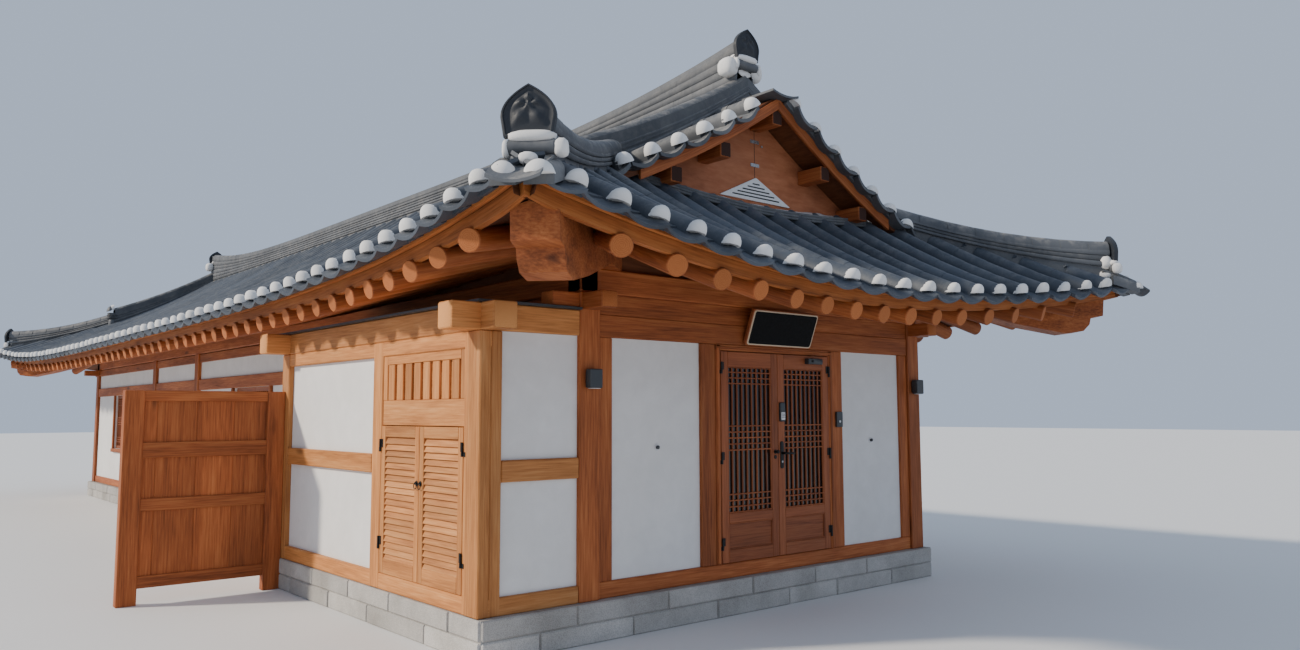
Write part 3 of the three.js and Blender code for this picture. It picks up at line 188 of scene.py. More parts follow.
class Form:
    """A mesh being put together from closed solids, with grain coordinates, tones and end faces."""

    def __init__(self):
        self.points, self.loops, self.sizes, self.grain, self.tones, self.ends = [], [], [], [], [], []
        self.count = 0

    def add(self, points, groups, tones):
        """Adds solids: points (n, m, 3), and groups of faces (f, k) with their grain (n, f, k, 2) and end
        mark."""
        n, m, _ = points.shape
        shift = self.count + np.arange(n)[:, None, None] * m
        for faces, grain, end in groups:
            self.loops.append((faces[None] + shift).ravel())
            self.sizes.append(np.full(n * len(faces), faces.shape[1]))
            self.grain.append(grain.reshape(-1, 2))
            self.tones.append(np.repeat(tones, len(faces)))
            self.ends.append(np.full(n * len(faces), end))
        self.points.append(points.reshape(-1, 3))
        self.count += n * m


def build(form, name, finishes, body="house", stands_for=(), slot=None, sharp=40):
    """Makes the form a piece: its side faces take the first finish and its end faces the last. The slot
    argument is not used."""
    mesh = bpy.data.meshes.new(name)
    points = np.concatenate(form.points).astype(np.float32)
    loops = np.concatenate(form.loops).astype(np.int32)
    sizes = np.concatenate(form.sizes)
    mesh.vertices.add(len(points))
    mesh.vertices.foreach_set("co", points.ravel())
    mesh.loops.add(len(loops))
    mesh.loops.foreach_set("vertex_index", loops)
    mesh.polygons.add(len(sizes))
    mesh.polygons.foreach_set("loop_start", (np.cumsum(sizes) - sizes).astype(np.int32))
    ends = np.concatenate(form.ends)
    mesh.polygons.foreach_set("material_index", np.minimum(ends, len(finishes) - 1).astype(np.int32))
    grain = mesh.uv_layers.new(name="grain")
    grain.data.foreach_set("uv", np.concatenate(form.grain).astype(np.float32).ravel())
    tone = mesh.attributes.new("tone", "FLOAT", "FACE")
    tone.data.foreach_set("value", np.concatenate(form.tones).astype(np.float32))
    mesh.update(calc_edges=True)
    mesh.polygons.foreach_set("use_smooth", np.ones(len(sizes), bool))
    mesh.set_sharp_from_angle(angle=np.radians(sharp))
    for finish in finishes:
        mesh.materials.append(finish)
    piece = bpy.data.objects.new(name, mesh)
    bpy.context.scene.collection.objects.link(piece)
    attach(piece, body)
    if stands_for:
        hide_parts(*stands_for)


def tubes(form, rings, tones=None, along=None):
    """Closed solids through rings (n, r, k, 3): quads from ring to ring, and a flat face on each end ring.

    Grain runs with the distance along the first solid's rings, and across with the distance round them.
    """
    rings = np.asarray(rings, float)
    n, r, k, _ = rings.shape
    tones = rng.random(n) if tones is None else np.broadcast_to(tones, n)
    i, j = np.meshgrid(np.arange(r - 1), np.arange(k), indexing="ij")
    a, b = i * k + j, i * k + (j + 1) % k
    quads = np.stack([a, b, b + k, a + k], -1).reshape(-1, 4)
    caps = np.stack([np.arange(k)[::-1], (r - 1) * k + np.arange(k)])
    middles = rings.mean(2)
    if along is None:
        steps = np.linalg.norm(np.diff(middles, axis=1), axis=-1)
        along = np.concatenate([np.zeros((n, 1)), np.cumsum(steps, 1)], 1)
    along = np.broadcast_to(along, (n, r)) + rng.random((n, 1)) * 40
    widest = rings[:, r // 2]
    sides = np.linalg.norm(np.roll(widest, -1, 1) - widest, axis=-1)
    around = np.concatenate([np.zeros((n, 1)), np.cumsum(sides, 1)], 1) + rng.random((n, 1)) * 40
    u0, u1 = along[:, i], along[:, i + 1]
    v0, v1 = around[:, j], around[:, j + 1]
    grain = np.stack([np.stack([u0, v0], -1), np.stack([u0, v1], -1), np.stack([u1, v1], -1),
                      np.stack([u1, v0], -1)], -2).reshape(n, -1, 4, 2)
    ends = rings[:, [0, -1]]
    centre = ends.mean(2, keepdims=True)
    across = ends[:, :, :1] - centre
    across /= np.linalg.norm(across, axis=-1, keepdims=True) + 1e-12
    axis = np.cross(across, ends[:, :, 1:2] - centre)
    axis /= np.linalg.norm(axis, axis=-1, keepdims=True) + 1e-12
    flat = np.stack([((ends - centre) * across).sum(-1),
                     ((ends - centre) * np.cross(axis, across)).sum(-1)], -1)
    flat[:, 0] = flat[:, 0, ::-1]
    points = rings.reshape(n, r * k, 3)
    first = points[0] - points[0].mean(0)
    p, q, s = first[quads[:, 0]], first[quads[:, 1]], first[quads[:, 2]]
    t = first[quads[:, 3]]
    volume = (p * np.cross(q, s)).sum() + (p * np.cross(s, t)).sum()
    fan = first[caps]
    volume += (fan[:, :1] * np.cross(fan[:, 1:-1], fan[:, 2:])).sum()
    if volume < 0:
        quads, caps = quads[:, ::-1], caps[:, ::-1]
        grain, flat = grain[:, :, ::-1], flat[:, :, ::-1]
    form.add(points, [(quads, grain, 0), (caps, flat, 1)], tones)


def bars(form, boxes, chamfer=0.005):
    """Timbers, one for each row x0, x1, y0, y1, z0, z1: an eight-sided section, a rectangle with its corners
    taken off, carried along the longest side and drawn in by the chamfer at both ends."""
    spans = np.sort(np.asarray(boxes, float).reshape(-1, 3, 2), axis=2)
    low, high = spans[..., 0], spans[..., 1]
    order = ((high - low).argmax(1)[:, None] + np.arange(3)) % 3
    low, high = np.take_along_axis(low, order, 1), np.take_along_axis(high, order, 1)
    cut = np.minimum(chamfer, (high - low).min(1) * 0.3)
    turn = np.array([[1, -1], [1, 1], [1, 1], [-1, 1], [-1, 1], [-1, -1], [-1, -1], [1, -1]])
    held = np.array([[0, 1], [0, 1], [1, 0], [1, 0], [0, 1], [0, 1], [1, 0], [1, 0]])
    middle, half = (low + high)[:, 1:] / 2, (high - low)[:, 1:] / 2
    drawn = np.array([1, 0, 0, 1])[None, :, None, None] * cut[:, None, None, None]
    offset = turn * (half[:, None, None] - drawn - held * cut[:, None, None, None] * 0.999)
    across = middle[:, None, None] + offset
    ends = np.stack([low[:, 0], low[:, 0] + cut, high[:, 0] - cut, high[:, 0]], 1)
    local = np.concatenate([np.broadcast_to(ends[:, :, None, None], across.shape[:3] + (1,)), across], -1)
    rings = np.empty_like(local)
    np.put_along_axis(rings, np.broadcast_to(order[:, None, None], local.shape), local, -1)
    tubes(form, rings, along=ends)


def logs(form, starts, ends, radius, sides=14, ease=0.006):
    """Round timbers between pairs of points: circles square to the line, drawn in a little at both ends."""
    starts, ends = np.atleast_2d(starts).astype(float), np.atleast_2d(ends).astype(float)
    run = ends - starts
    length = np.linalg.norm(run, axis=1, keepdims=True)
    run /= length
    aside = np.cross(run, [0.0, 0.0, 1.0])
    flat = np.linalg.norm(aside, axis=1) < 1e-6
    aside[flat] = [1.0, 0.0, 0.0]
    aside /= np.linalg.norm(aside, axis=1, keepdims=True)
    above = np.cross(aside, run)
    angle = np.arange(sides) / sides * 2 * np.pi
    circle = np.cos(angle)[:, None] * aside[:, None] + np.sin(angle)[:, None] * above[:, None]
    at = np.stack([np.zeros_like(length), np.full_like(length, ease), length - ease, length], 1)
    size = np.broadcast_to(radius, len(starts))[:, None] - np.array([1, 0, 0, 1]) * ease
    axis = starts[:, None, None] + at[..., None] * run[:, None, None]
    tubes(form, axis + size[..., None, None] * circle[:, None], along=at[..., 0])


def swept(form, path, across, above, section, size=None):
    """One solid: a closed section (k, 2) carried along a path (r, 3), its first coordinate measured along
    across and its second along above, both (3,) or (r, 3), and scaled by size (r,)."""
    path = np.asarray(path, float)
    across, above = np.broadcast_to(across, path.shape), np.broadcast_to(above, path.shape)
    size = np.ones(len(path)) if size is None else size
    section = np.broadcast_to(section, (len(path),) + np.shape(section)[-2:]) * size[:, None, None]
    rings = path[:, None] + section[..., :1] * across[:, None] + section[..., 1:] * above[:, None]
    tubes(form, rings[None])


def unit(vector):
    return vector / np.linalg.norm(vector, axis=-1, keepdims=True)


# Finishes


class Finish:
    """A node material under construction; its methods add one node each and return the node's output."""

    def __init__(self, name, roughness, metallic=0.0, specular=0.5):
        self.material = bpy.data.materials.new(name)
        self.material.use_nodes = True
        self.tree = self.material.node_tree
        self.shader = self.tree.nodes["Principled BSDF"]
        self.set("Roughness", roughness)
        self.set("Metallic", metallic)
        self.set("Specular IOR Level", specular)

    def set(self, socket, value, node=None):
        """Puts a value or another node's output on a socket: the shader's, unless a node is given."""
        socket = (node or self.shader).inputs[socket]
        if isinstance(value, bpy.types.NodeSocket):
            self.tree.links.new(value, socket)
        else:
            socket.default_value = value

    def node(self, kind, inputs=(), **settings):
        added = self.tree.nodes.new(kind)
        for key, value in settings.items():
            setattr(added, key, value)
        for key, value in dict(inputs).items():
            self.set(key, value, added)
        return added

    def place(self, scale=(1, 1, 1), grain=False):
        """Object coordinates, or the grain map's, times a scale along each axis."""
        if grain:
            source = self.node("ShaderNodeUVMap", uv_map="grain").outputs["UV"]
        else:
            source = self.node("ShaderNodeTexCoord").outputs["Object"]
        return self.node("ShaderNodeMapping", {"Vector": source, "Scale": scale}).outputs["Vector"]

    def noise(self, where, scale, detail=4.0, roughness=0.55, distortion=0.0):
        inputs = {"Vector": where, "Scale": scale, "Detail": detail, "Roughness": roughness,
                  "Distortion": distortion}
        return self.node("ShaderNodeTexNoise", inputs).outputs["Fac"]

    def cells(self, where, scale):
        return self.node("ShaderNodeTexVoronoi", {"Vector": where, "Scale": scale}).outputs["Distance"]

    def tone(self):
        return self.node("ShaderNodeAttribute", attribute_name="tone").outputs["Fac"]

    def ramp(self, value, *stops):
        """Colour ramp through (place, (r, g, b)) or (place, grey) stops."""
        added = self.node("ShaderNodeValToRGB", {"Fac": value})
        while len(added.color_ramp.elements) < len(stops):
            added.color_ramp.elements.new(0.5)
        for element, (at, colour) in zip(added.color_ramp.elements, stops):
            element.position = at
            element.color = (*(colour if isinstance(colour, tuple) else (colour,) * 3), 1)
        return added.outputs["Color"]

    def mix(self, factor, a, b, blend_type="MIX"):
        """Colour mix; its factor and two colours are the node's sockets 0, 6 and 7."""
        added = self.node("ShaderNodeMix", data_type="RGBA", blend_type=blend_type)
        for socket, value in ((0, factor), (6, a), (7, b)):
            self.set(socket, (*value, 1) if isinstance(value, tuple) else value, added)
        return added.outputs[2]

    def shaded(self, colour, shade):
        return self.mix(1.0, colour, shade, "MULTIPLY")

    def math(self, operation, a, b=0.5):
        return self.node("ShaderNodeMath", {0: a, 1: b}, operation=operation).outputs["Value"]

    def bump(self, height, strength, distance):
        inputs = {"Height": height, "Strength": strength, "Distance": distance}
        self.set("Normal", self.node("ShaderNodeBump", inputs).outputs["Normal"])


def scaled(vector, factor):
    return tuple(np.multiply(vector, factor))


def timber(name, dark, middle, light, roughness=0.62, grain=True, scale=(1.0, 1.0, 1.0), knots=True):
    """Oiled softwood: long fibres and broader figure from noise drawn out along the grain, a few knots,
    and each stick a little lighter or darker than the next."""
    wood = Finish(name, roughness, specular=0.3)
    fine = wood.noise(wood.place(scaled(scale, (1.6, 34, 34)), grain), 2.0, 7.0, 0.62)
    broad = wood.noise(wood.place(scaled(scale, (0.55, 7.5, 7.5)), grain), 1.0, 3.0, 0.5, 0.6)
    figure = wood.mix(0.45, wood.ramp(fine, (0.3, 0.0), (0.72, 1.0)),
                      wood.ramp(broad, (0.3, 0.0), (0.7, 1.0)))
    colour = wood.ramp(figure, (0.05, dark), (0.5, middle), (0.95, light))
    if grain:
        shade = wood.ramp(wood.tone(), (0.0, 0.8), (1.0, 1.16))
    else:
        shade = wood.ramp(broad, (0.3, 0.9), (0.7, 1.08))
    patches = wood.noise(wood.place((0.9, 2.2, 2.2), grain), 1.0, 2.0)
    colour = wood.shaded(wood.shaded(colour, shade), wood.ramp(patches, (0.35, 0.86), (0.65, 1.05)))
    if knots:
        spots = wood.cells(wood.place((1.1, 4.6, 4.6), grain), 0.62)
        colour = wood.mix(wood.ramp(spots, (0.04, 0.75), (0.11, 0.0)), colour, scaled(dark, 0.45))
    wood.set("Base Color", colour)
    wood.set("Roughness", wood.ramp(fine, (0.2, roughness + 0.1), (0.8, roughness - 0.08)))
    wood.bump(figure, 0.35, 0.0025)
    return wood.material


def end_grain(name, dark, light):
    """Sawn end: growth rings round the middle of the stick, checked by fine noise."""
    wood = Finish(name, 0.75, specular=0.25)
    where = wood.place(grain=True)
    distance = wood.node("ShaderNodeVectorMath", {0: where}, operation="LENGTH").outputs["Value"]
    wobble = wood.math("MULTIPLY", wood.noise(where, 9.0, 3.0), 9.0)
    rings = wood.math("SINE", wood.math("ADD", wood.math("MULTIPLY", distance, 520.0), wobble))
    speckle = wood.noise(where, 90.0, 5.0)
    figure = wood.mix(0.6, wood.ramp(wood.math("MULTIPLY_ADD", rings, 0.5), (0.0, 0.0), (1.0, 1.0)),
                      wood.ramp(speckle, (0.3, 0.0), (0.7, 1.0)))
    shade = wood.ramp(wood.tone(), (0.0, 0.85), (1.0, 1.12))
    wood.set("Base Color", wood.shaded(wood.mix(figure, dark, light), shade))
    wood.bump(speckle, 0.3, 0.002)
    return wood.material


def fired_clay(name, dark, light, dust):
    """Unglazed roof tile: smoked grey clay, cloudy from tile to tile, with pale dust on what lies flat."""
    clay = Finish(name, 0.58, specular=0.45)
    where = clay.place()
    clouds = clay.noise(where, 1.1, 5.0, 0.6)
    grit = clay.noise(where, 60.0, 6.0, 0.7)
    colour = clay.mix(clay.ramp(clouds, (0.25, 0.0), (0.75, 1.0)), dark, light)
    colour = clay.shaded(colour, clay.ramp(clay.tone(), (0.0, 0.8), (1.0, 1.22)))
    stains = clay.noise(where, 7.0, 8.0, 0.72, 0.4)
    normal = clay.node("ShaderNodeNewGeometry").outputs["Normal"]
    up = clay.node("ShaderNodeSeparateXYZ", {"Vector": normal}).outputs["Z"]
    dusty = clay.ramp(stains, (0.45, 0.0), (0.68, 1.0))
    lying = clay.math("MULTIPLY", dusty, clay.ramp(up, (0.1, 0.12), (0.9, 0.75)))
    clay.set("Base Color", clay.mix(lying, colour, dust))
    clay.set("Roughness", clay.ramp(grit, (0.3, 0.5), (0.7, 0.7)))
    clay.bump(clay.mix(0.5, grit, clouds), 0.3, 0.004)
    return clay.material


def lime(name, colour, stain, rough=6.0):
    """Lime plaster: near white, laid on with a float, with soft stains and fine grit."""
    plaster = Finish(name, 0.88, specular=0.2)
    where = plaster.place()
    strokes = plaster.noise(where, rough, 5.0, 0.6, 0.5)
    grit = plaster.noise(where, 140.0, 3.0)
    soft = plaster.ramp(plaster.noise(where, 1.3, 4.0), (0.42, 0.0), (0.75, 0.55))
    shade = plaster.ramp(strokes, (0.3, 0.95), (0.7, 1.02))
    plaster.set("Base Color", plaster.shaded(plaster.mix(soft, colour, stain), shade))
    plaster.bump(plaster.mix(0.35, strokes, grit), 0.4, 0.004)
    return plaster.material


def dressed_stone(name, dark, light):
    """Granite: crystals of light and dark with broad cloudy weathering."""
    stone = Finish(name, 0.85, specular=0.3)
    where = stone.place()
    crystals = stone.ramp(stone.cells(where, 120.0), (0.1, 0.75), (0.6, 1.12))
    clouds = stone.noise(where, 1.8, 6.0, 0.65)
    colour = stone.mix(stone.ramp(clouds, (0.3, 0.0), (0.7, 1.0)), dark, light)
    colour = stone.shaded(stone.shaded(colour, crystals), stone.ramp(stone.tone(), (0.0, 0.85), (1.0, 1.12)))
    stone.set("Base Color", colour)
    stone.bump(stone.mix(0.5, clouds, stone.noise(where, 35.0, 6.0)), 0.5, 0.01)
    return stone.material


def painted_iron(name, colour, roughness=0.45, metallic=0.6, wear=0.06, specular=0.5):
    """Painted metal, a little lighter and rougher where it is worn."""
    iron = Finish(name, roughness, metallic, specular)
    worn = iron.noise(iron.place(), 45.0, 5.0)
    rubbed = iron.ramp(worn, (0.55, 0.0), (0.8, 0.5))
    iron.set("Base Color", iron.mix(rubbed, colour, tuple(np.add(colour, wear))))
    iron.set("Roughness", iron.ramp(worn, (0.3, roughness - 0.08), (0.7, roughness + 0.1)))
    iron.bump(worn, 0.1, 0.001)
    return iron.material


def pane_painted_room_shade(name):
    """Window glass, near black as painted shade of the unlit room behind it, with a faint unevenness."""
    pane = Finish(name, 0.08, specular=0.6)
    ripple = pane.noise(pane.place(), 3.0, 2.0)
    # Near black colour: painted shade of the room seen through the glass; the gloss gives real reflections.
    pane.set("Base Color", pane.mix(ripple, (0.012, 0.008, 0.007), (0.03, 0.02, 0.018)))
    pane.bump(ripple, 0.05, 0.002)
    return pane.material


ORANGE = ((0.15, 0.036, 0.010), (0.36, 0.100, 0.028), (0.52, 0.185, 0.058))
PALE = ((0.32, 0.110, 0.030), (0.56, 0.225, 0.066), (0.72, 0.35, 0.13))
RED = ((0.15, 0.038, 0.013), (0.30, 0.085, 0.028), (0.40, 0.13, 0.045))
# The darkest palette is painted shade: the wood of the planks, scalloped boards, wall infill and roof beds
# under the eaves, darkened for the shade it sits in.
PAINTED_SHADE_BROWN = ((0.060, 0.019, 0.008), (0.125, 0.042, 0.016), (0.19, 0.07, 0.028))

frame_timber = [timber("frame_wood", *ORANGE), end_grain("frame_end", *ORANGE[1:])]
pale_timber = [timber("pale_wood", *PALE), end_grain("pale_end", *PALE[1:])]
door_timber = [timber("door_wood", *RED, roughness=0.5, knots=False), end_grain("door_end", *RED[1:])]
# Dark wood for the parts in the eaves' shade: painted shade.
painted_shade_wood = timber("painted_shade_wood", *PAINTED_SHADE_BROWN)
# A lighter copy of the frame's orange for the eave boards: painted light, the ground's bounce on them in the
# shade.
eave_wood_painted_bounce = timber("eave_wood_painted_bounce", (0.18, 0.050, 0.011), (0.44, 0.135, 0.032), (0.60, 0.23, 0.065), knots=False)
hip_wood = timber("hip_wood", *ORANGE, grain=False, scale=(0.6, 0.6, 1.0))
# The roof beds take the dark palette as painted shade.
bed_painted_shade_wood = timber("bed_painted_shade_wood", *PAINTED_SHADE_BROWN, grain=False, scale=(1.0, 0.1, 1.0), knots=False)
gable_wood = timber("gable_wood", (0.20, 0.060, 0.026), (0.36, 0.122, 0.052), (0.46, 0.175, 0.08),
                    grain=False, scale=(1.6, 1.0, 0.3))
dark_end = end_grain("dark_end", (0.022, 0.008, 0.005), (0.05, 0.018, 0.010))
floor_wood = timber("floor_wood", *PALE, grain=False, scale=(9.0, 0.05, 1.0))
tile_clay = fired_clay("tile_clay", (0.034, 0.043, 0.058), (0.080, 0.096, 0.120), (0.15, 0.155, 0.16))
ridge_clay = fired_clay("ridge_clay", (0.044, 0.050, 0.060), (0.120, 0.128, 0.138), (0.40, 0.37, 0.33))
end_clay = fired_clay("end_clay", (0.012, 0.015, 0.021), (0.026, 0.031, 0.040), (0.08, 0.08, 0.08))
wall_plaster = lime("wall_plaster", (0.80, 0.79, 0.77), (0.70, 0.68, 0.64))
plug_plaster = lime("plug_plaster", (0.82, 0.81, 0.79), (0.60, 0.58, 0.54), 22.0)
granite = dressed_stone("granite", (0.30, 0.285, 0.26), (0.50, 0.48, 0.45))
black_iron = painted_iron("black_iron", (0.018, 0.018, 0.018))
grey_iron = painted_iron("grey_iron", (0.06, 0.065, 0.07), 0.4)
bright_iron = painted_iron("bright_iron", (0.42, 0.42, 0.42), 0.3, 0.9)
white_enamel = painted_iron("white_enamel", (0.7, 0.7, 0.7), 0.3, 0.0)
cream_paint = painted_iron("cream_paint", (0.62, 0.48, 0.33), 0.55, 0.0)
board_lacquer = painted_iron("board_lacquer", (0.0035, 0.0035, 0.0035), 0.6, 0.0, 0.004, 0.12)
glass = pane_painted_room_shade("glass_painted_room_shade")


# Roof surfaces, for x and y counted from the middle of the plan


def blend(a, b, part):
    return a + (b - a) * part


def hollow(low, high, row, sag):
    return blend(low, high, row - sag * row * (1 - row))


def hip_y(x):
    return GABLE + (x - HIP_TOP_X) * HIP_RISE


def hip_x(y):
    return HIP_TOP_X + (y - GABLE) / HIP_RISE


def hip_z(row):
    return hollow(CORNER_Z, RIDGE_END_Z, row, HIP_SAG)


def side_levels(y, x):
    """Top of a side slope's bed and the plane under it, from its row and place along the eave, which
    follow from the plan point by repeated substitution."""
    x, y = np.abs(x), np.abs(y)
    t = y / HALF_L
    for _ in range(40):
        row = 1 - x / blend(HALF_W + EAVE_MID, CORNER_X, t**3)
        t = y / np.maximum(hip_y(CORNER_X * (1 - row)), VERGE)
    rise = t**5.5
    top = blend(hollow(SIDE_EAVE_Z, RIDGE_MID_Z, row, SIDE_SAG), hip_z(row), rise)
    eave = blend(SIDE_EAVE_Z, CORNER_Z, rise)
    return top, blend(eave - BED_EDGE, blend(SIDE_WALL_Z, WALL_CORNER_Z, rise), row / SIDE_WALL_ROW)


def front_levels(x, y):
    """The same for a front or back slope."""
    x, y = np.abs(x), np.abs(y)
    row = np.full(np.broadcast(x, y).shape, 0.2)
    for _ in range(40):
        t = x / (CORNER_X * (1 - row * HIP_TOP_ROW))
        out = blend(EAVE_MID, EAVE_CORNER, t**2)
        row = (HALF_L + out - y) / (HALF_L + out - GABLE)
    rise = t**1.8
    top = blend(hollow(FRONT_EAVE_Z, GABLE_FOOT_Z, row, FRONT_SAG), hip_z(row * HIP_TOP_ROW), rise)
    eave = blend(FRONT_EAVE_Z, CORNER_Z, rise)
    return top, blend(eave - BED_EDGE, blend(FRONT_WALL_Z, WALL_CORNER_Z, rise), row / FRONT_WALL_ROW)


class Slope:
    """A roof slope: which way its eave runs and faces, its levels, and where its tile rows begin and end."""

    def __init__(self, name, out):
        self.name = name
        self.out = np.array(out, float)
        self.along = np.abs(self.out[[1, 0, 2]])
        self.side = out[0] != 0
        if self.side:
            self.levels, self.edge, self.inner = side_levels, side_edge, side_inner
            self.corner, self.wall, self.reach = HALF_L, HALF_W, HALF_L + EAVE_CORNER
        else:
            self.levels, self.edge, self.inner = front_levels, front_edge, front_inner
            self.corner, self.wall, self.reach = HALF_W, HALF_L, CORNER_X
        self.rows = np.linspace(*(SIDE_ROWS if self.side else FRONT_ROWS))
        self.pitch = self.rows[1] - self.rows[0]

    def spot(self, along, out, z):
        """World points from a place along the eave, a distance out from the middle, and a height."""
        along, out, z = np.broadcast_arrays(along, out, z)
        return along[..., None] * self.along + out[..., None] * self.out + z[..., None] * UP

    def seat(self, along, out, lift):
        """Points on a line up the slope, lifted square to the bed, with the directions across and above."""
        step = 0.02
        top = self.levels(along, out)[0]
        up_slope = (self.levels(along, out + step)[0] - self.levels(along, out - step)[0]) / (2 * step)
        aside = (self.levels(along + step, out)[0] - self.levels(along - step, out)[0]) / (2 * step)
        zeros = np.zeros_like(top)
        across = unit(self.spot(zeros + 1, zeros, aside))
        tangent = unit(self.spot(zeros, zeros + 1, up_slope))
        above = unit(np.cross(across, tangent))
        above *= np.sign(above[..., 2:])
        return self.spot(along, out, top) + lift * above, across, above


def side_edge(y):
    return HALF_W + blend(EAVE_MID, EAVE_CORNER, (np.abs(y) / (HALF_L + EAVE_CORNER)) ** 3)


def front_edge(x):
    return HALF_L + blend(EAVE_MID, EAVE_CORNER, (np.abs(x) / CORNER_X) ** 2)


def side_inner(y):
    """Where a side slope's tile row meets the main ridge, or past the gable the ridge on the hip."""
    return 0.07 if abs(y) < DESCENDING_Y - 0.05 else max(2.0, hip_x(abs(y)) + 0.02)


def front_inner(x):
    return max(GABLE - 0.02, hip_y(abs(x)) + 0.02)


SLOPES = [Slope("left", (-1, 0, 0)), Slope("right", (1, 0, 0)),
          Slope("front", (0, -1, 0)), Slope("back", (0, 1, 0))]


# Tiles


def stepped(length, tile, flare):
    """Distances along a row of tiles and a size for each: every tile is larger at its lower end, and the
    next one starts inside it."""
    count = max(1, int(round(length / tile)))
    joints = np.linspace(0, length, count + 1)
    distances = np.repeat(joints, 2)[1:-1]
    sizes = np.tile([1 + flare, 1 - flare], count)
    return distances, sizes


def round_section(half=ROUND_HALF, rise=ROUND_RISE, foot=0.05, steps=9):
    """Half an ellipse on a short upright foot."""
    angle = np.linspace(0, np.pi, steps)
    arch = np.stack([half * np.cos(angle), rise * np.sin(angle)], 1)
    return np.concatenate([[[half, -foot]], arch, [[-half, -foot]]])


def hollow_section(pitch=PITCH, sag=HOLLOW_SAG, thick=HOLLOW_THICK, steps=9):
    """A shallow parabola one pitch wide, with a copy of it beneath."""
    across = np.linspace(-0.5, 0.5, steps)
    upper = np.stack([across * pitch, sag * (2 * across) ** 2], 1)
    return np.concatenate([upper[::-1], upper - [0, thick]])


def plug(form, centre, across, above, outward, half=ROUND_HALF, rise=ROUND_RISE, floor=0.004):
    """Plaster in the mouth of a round tile: the tile's D-shaped outline drawn in along a quarter circle as
    it comes forward, a little uneven from one to the next."""
    half, rise = half * rng.uniform(0.99, 1.06), rise * rng.uniform(1.02, 1.1)
    angle = np.linspace(-0.14 * np.pi, 1.14 * np.pi, 15)
    outline = np.stack([half * np.cos(angle), np.maximum(rise * np.sin(angle), floor)], 1)
    swell = np.radians([0, 0, 14, 30, 46, 62, 80])
    forward = np.array([-0.03, 0, *np.sin(swell[2:])]) * rng.uniform(0.85, 1.1)
    forward[2:] *= PLUG_SWELL
    rings = (centre + forward[:, None, None] * outward
             + (np.cos(swell)[:, None, None] * outline[:, :1]) * across
             + (np.cos(swell)[:, None, None] * outline[:, 1:] + rng.uniform(0, 0.004)) * above)
    tubes(form, rings[None])


def tile_slope(slope):
    """Rows of round and hollow tiles up a slope, with plaster plugs at the eave."""
    tiles, plugs = Form(), Form()
    for at in slope.rows[1:-1]:
        low, high = slope.edge(at) + PLUG_OUT, slope.inner(at)
        distances, sizes = stepped(low - high, ROUND_LENGTH, ROUND_FLARE)
        path, across, above = slope.seat(np.full_like(distances, at), low - distances, ROUND_LIFT)
        swept(tiles, path, across, above, round_section(), sizes)
        plug(plugs, path[0], across[0], above[0], slope.out)
    for at in slope.rows[:-1] + slope.pitch / 2:
        low, high = slope.edge(at) + EAVE_TIP, slope.inner(at)
        distances, _ = stepped(low - high, HOLLOW_LENGTH, 0)
        lift = HOLLOW_LIFT + np.tile([HOLLOW_STEP, 0.0], len(distances) // 2)
        lift[0] = TIP_LIFT
        path, across, above = slope.seat(np.full_like(distances, at), low - distances, 0)
        swept(tiles, path + lift[:, None] * above, across, above, hollow_section(slope.pitch * 1.01))
    build(tiles, f"tiles_{slope.name}", [tile_clay])
    build(plugs, f"tile_plugs_{slope.name}", [plug_plaster], sharp=60)


# Eave boards, planks and rafters


def along_eave(slope, step):
    count = int(slope.reach / step)
    return np.linspace(-slope.reach, slope.reach, 2 * count + 1)


def strip(form, slope, at, outer, inner, low, high):
    """A board that follows the eave and is mitred at the corners: a four-cornered section at each place
    along it, from its outer and inner distance and its bottom and top height."""
    mitre = np.sign(at) * np.clip((np.abs(at) - slope.reach) / MITRE_FROM + 1, 0, 1)
    edge = slope.edge(at)
    corners = [slope.spot(at + mitre * (distance - edge), distance, height)
               for distance, height in ((outer, low), (outer, high), (inner, high), (inner, low))]
    tubes(form, np.stack(corners, 1)[None])


def hip_offset(x, y):
    """Distance of plan points from the line of the hip, positive towards the front or back."""
    run = np.hypot(1, HIP_RISE)
    return ((np.abs(y) - GABLE) - HIP_RISE * (np.abs(x) - HIP_TOP_X)) / run


def eave_boards(slope):
    """Scalloped board under the hollow tiles, a strip over the bed's edge, the eave board below it and the
    planks over the rafters."""
    scallops, boards, planks = Form(), Form(), Form()
    at = along_eave(slope, slope.pitch / 10)
    edge = slope.edge(at)
    top = slope.levels(at, edge)[0]
    hang = np.mod((at - slope.rows[0]) / slope.pitch, 1.0) - 0.5
    arch = HOLLOW_SAG * (2 * hang) ** 2 * np.clip((slope.reach - np.abs(at)) / MITRE_FROM, 0, 1)
    strip(scallops, slope, at, edge - 0.012, edge - 0.06, top - 0.006, top + arch - 0.012)
    at = along_eave(slope, 0.12)
    edge = slope.edge(at)
    under = slope.levels(at, edge)[1]
    strip(boards, slope, at, edge + 0.008, edge - 0.03, under - 0.004, under + BED_EDGE - 0.003)
    strip(boards, slope, at, edge - EAVE_BOARD_IN, edge - 0.095, under - EAVE_BOARD, under + 0.004)
    hip = hip_x(np.abs(at)) if slope.side else hip_y(np.abs(at))
    inner = np.minimum(np.maximum(slope.wall, hip), edge - 0.12)
    outer = edge - 0.085
    low_out, low_in = under - EAVE_BOARD + 0.006, slope.levels(at, inner)[1] - 0.024
    corners = [slope.spot(at, outer, low_out), slope.spot(at, outer, low_out + PLANK),
               slope.spot(at, inner, low_in + PLANK), slope.spot(at, inner, low_in)]
    tubes(planks, np.stack(corners, 1)[None])
    # The scalloped board and the planks are darkened as painted shade; the eave board is lightened as painted
    # bounce light.
    build(scallops, f"scalloped_board_{slope.name}", [painted_shade_wood], sharp=30)
    build(boards, f"eave_board_{slope.name}", [eave_wood_painted_bounce, frame_timber[1]])
    build(planks, f"planks_{slope.name}", [painted_shade_wood])


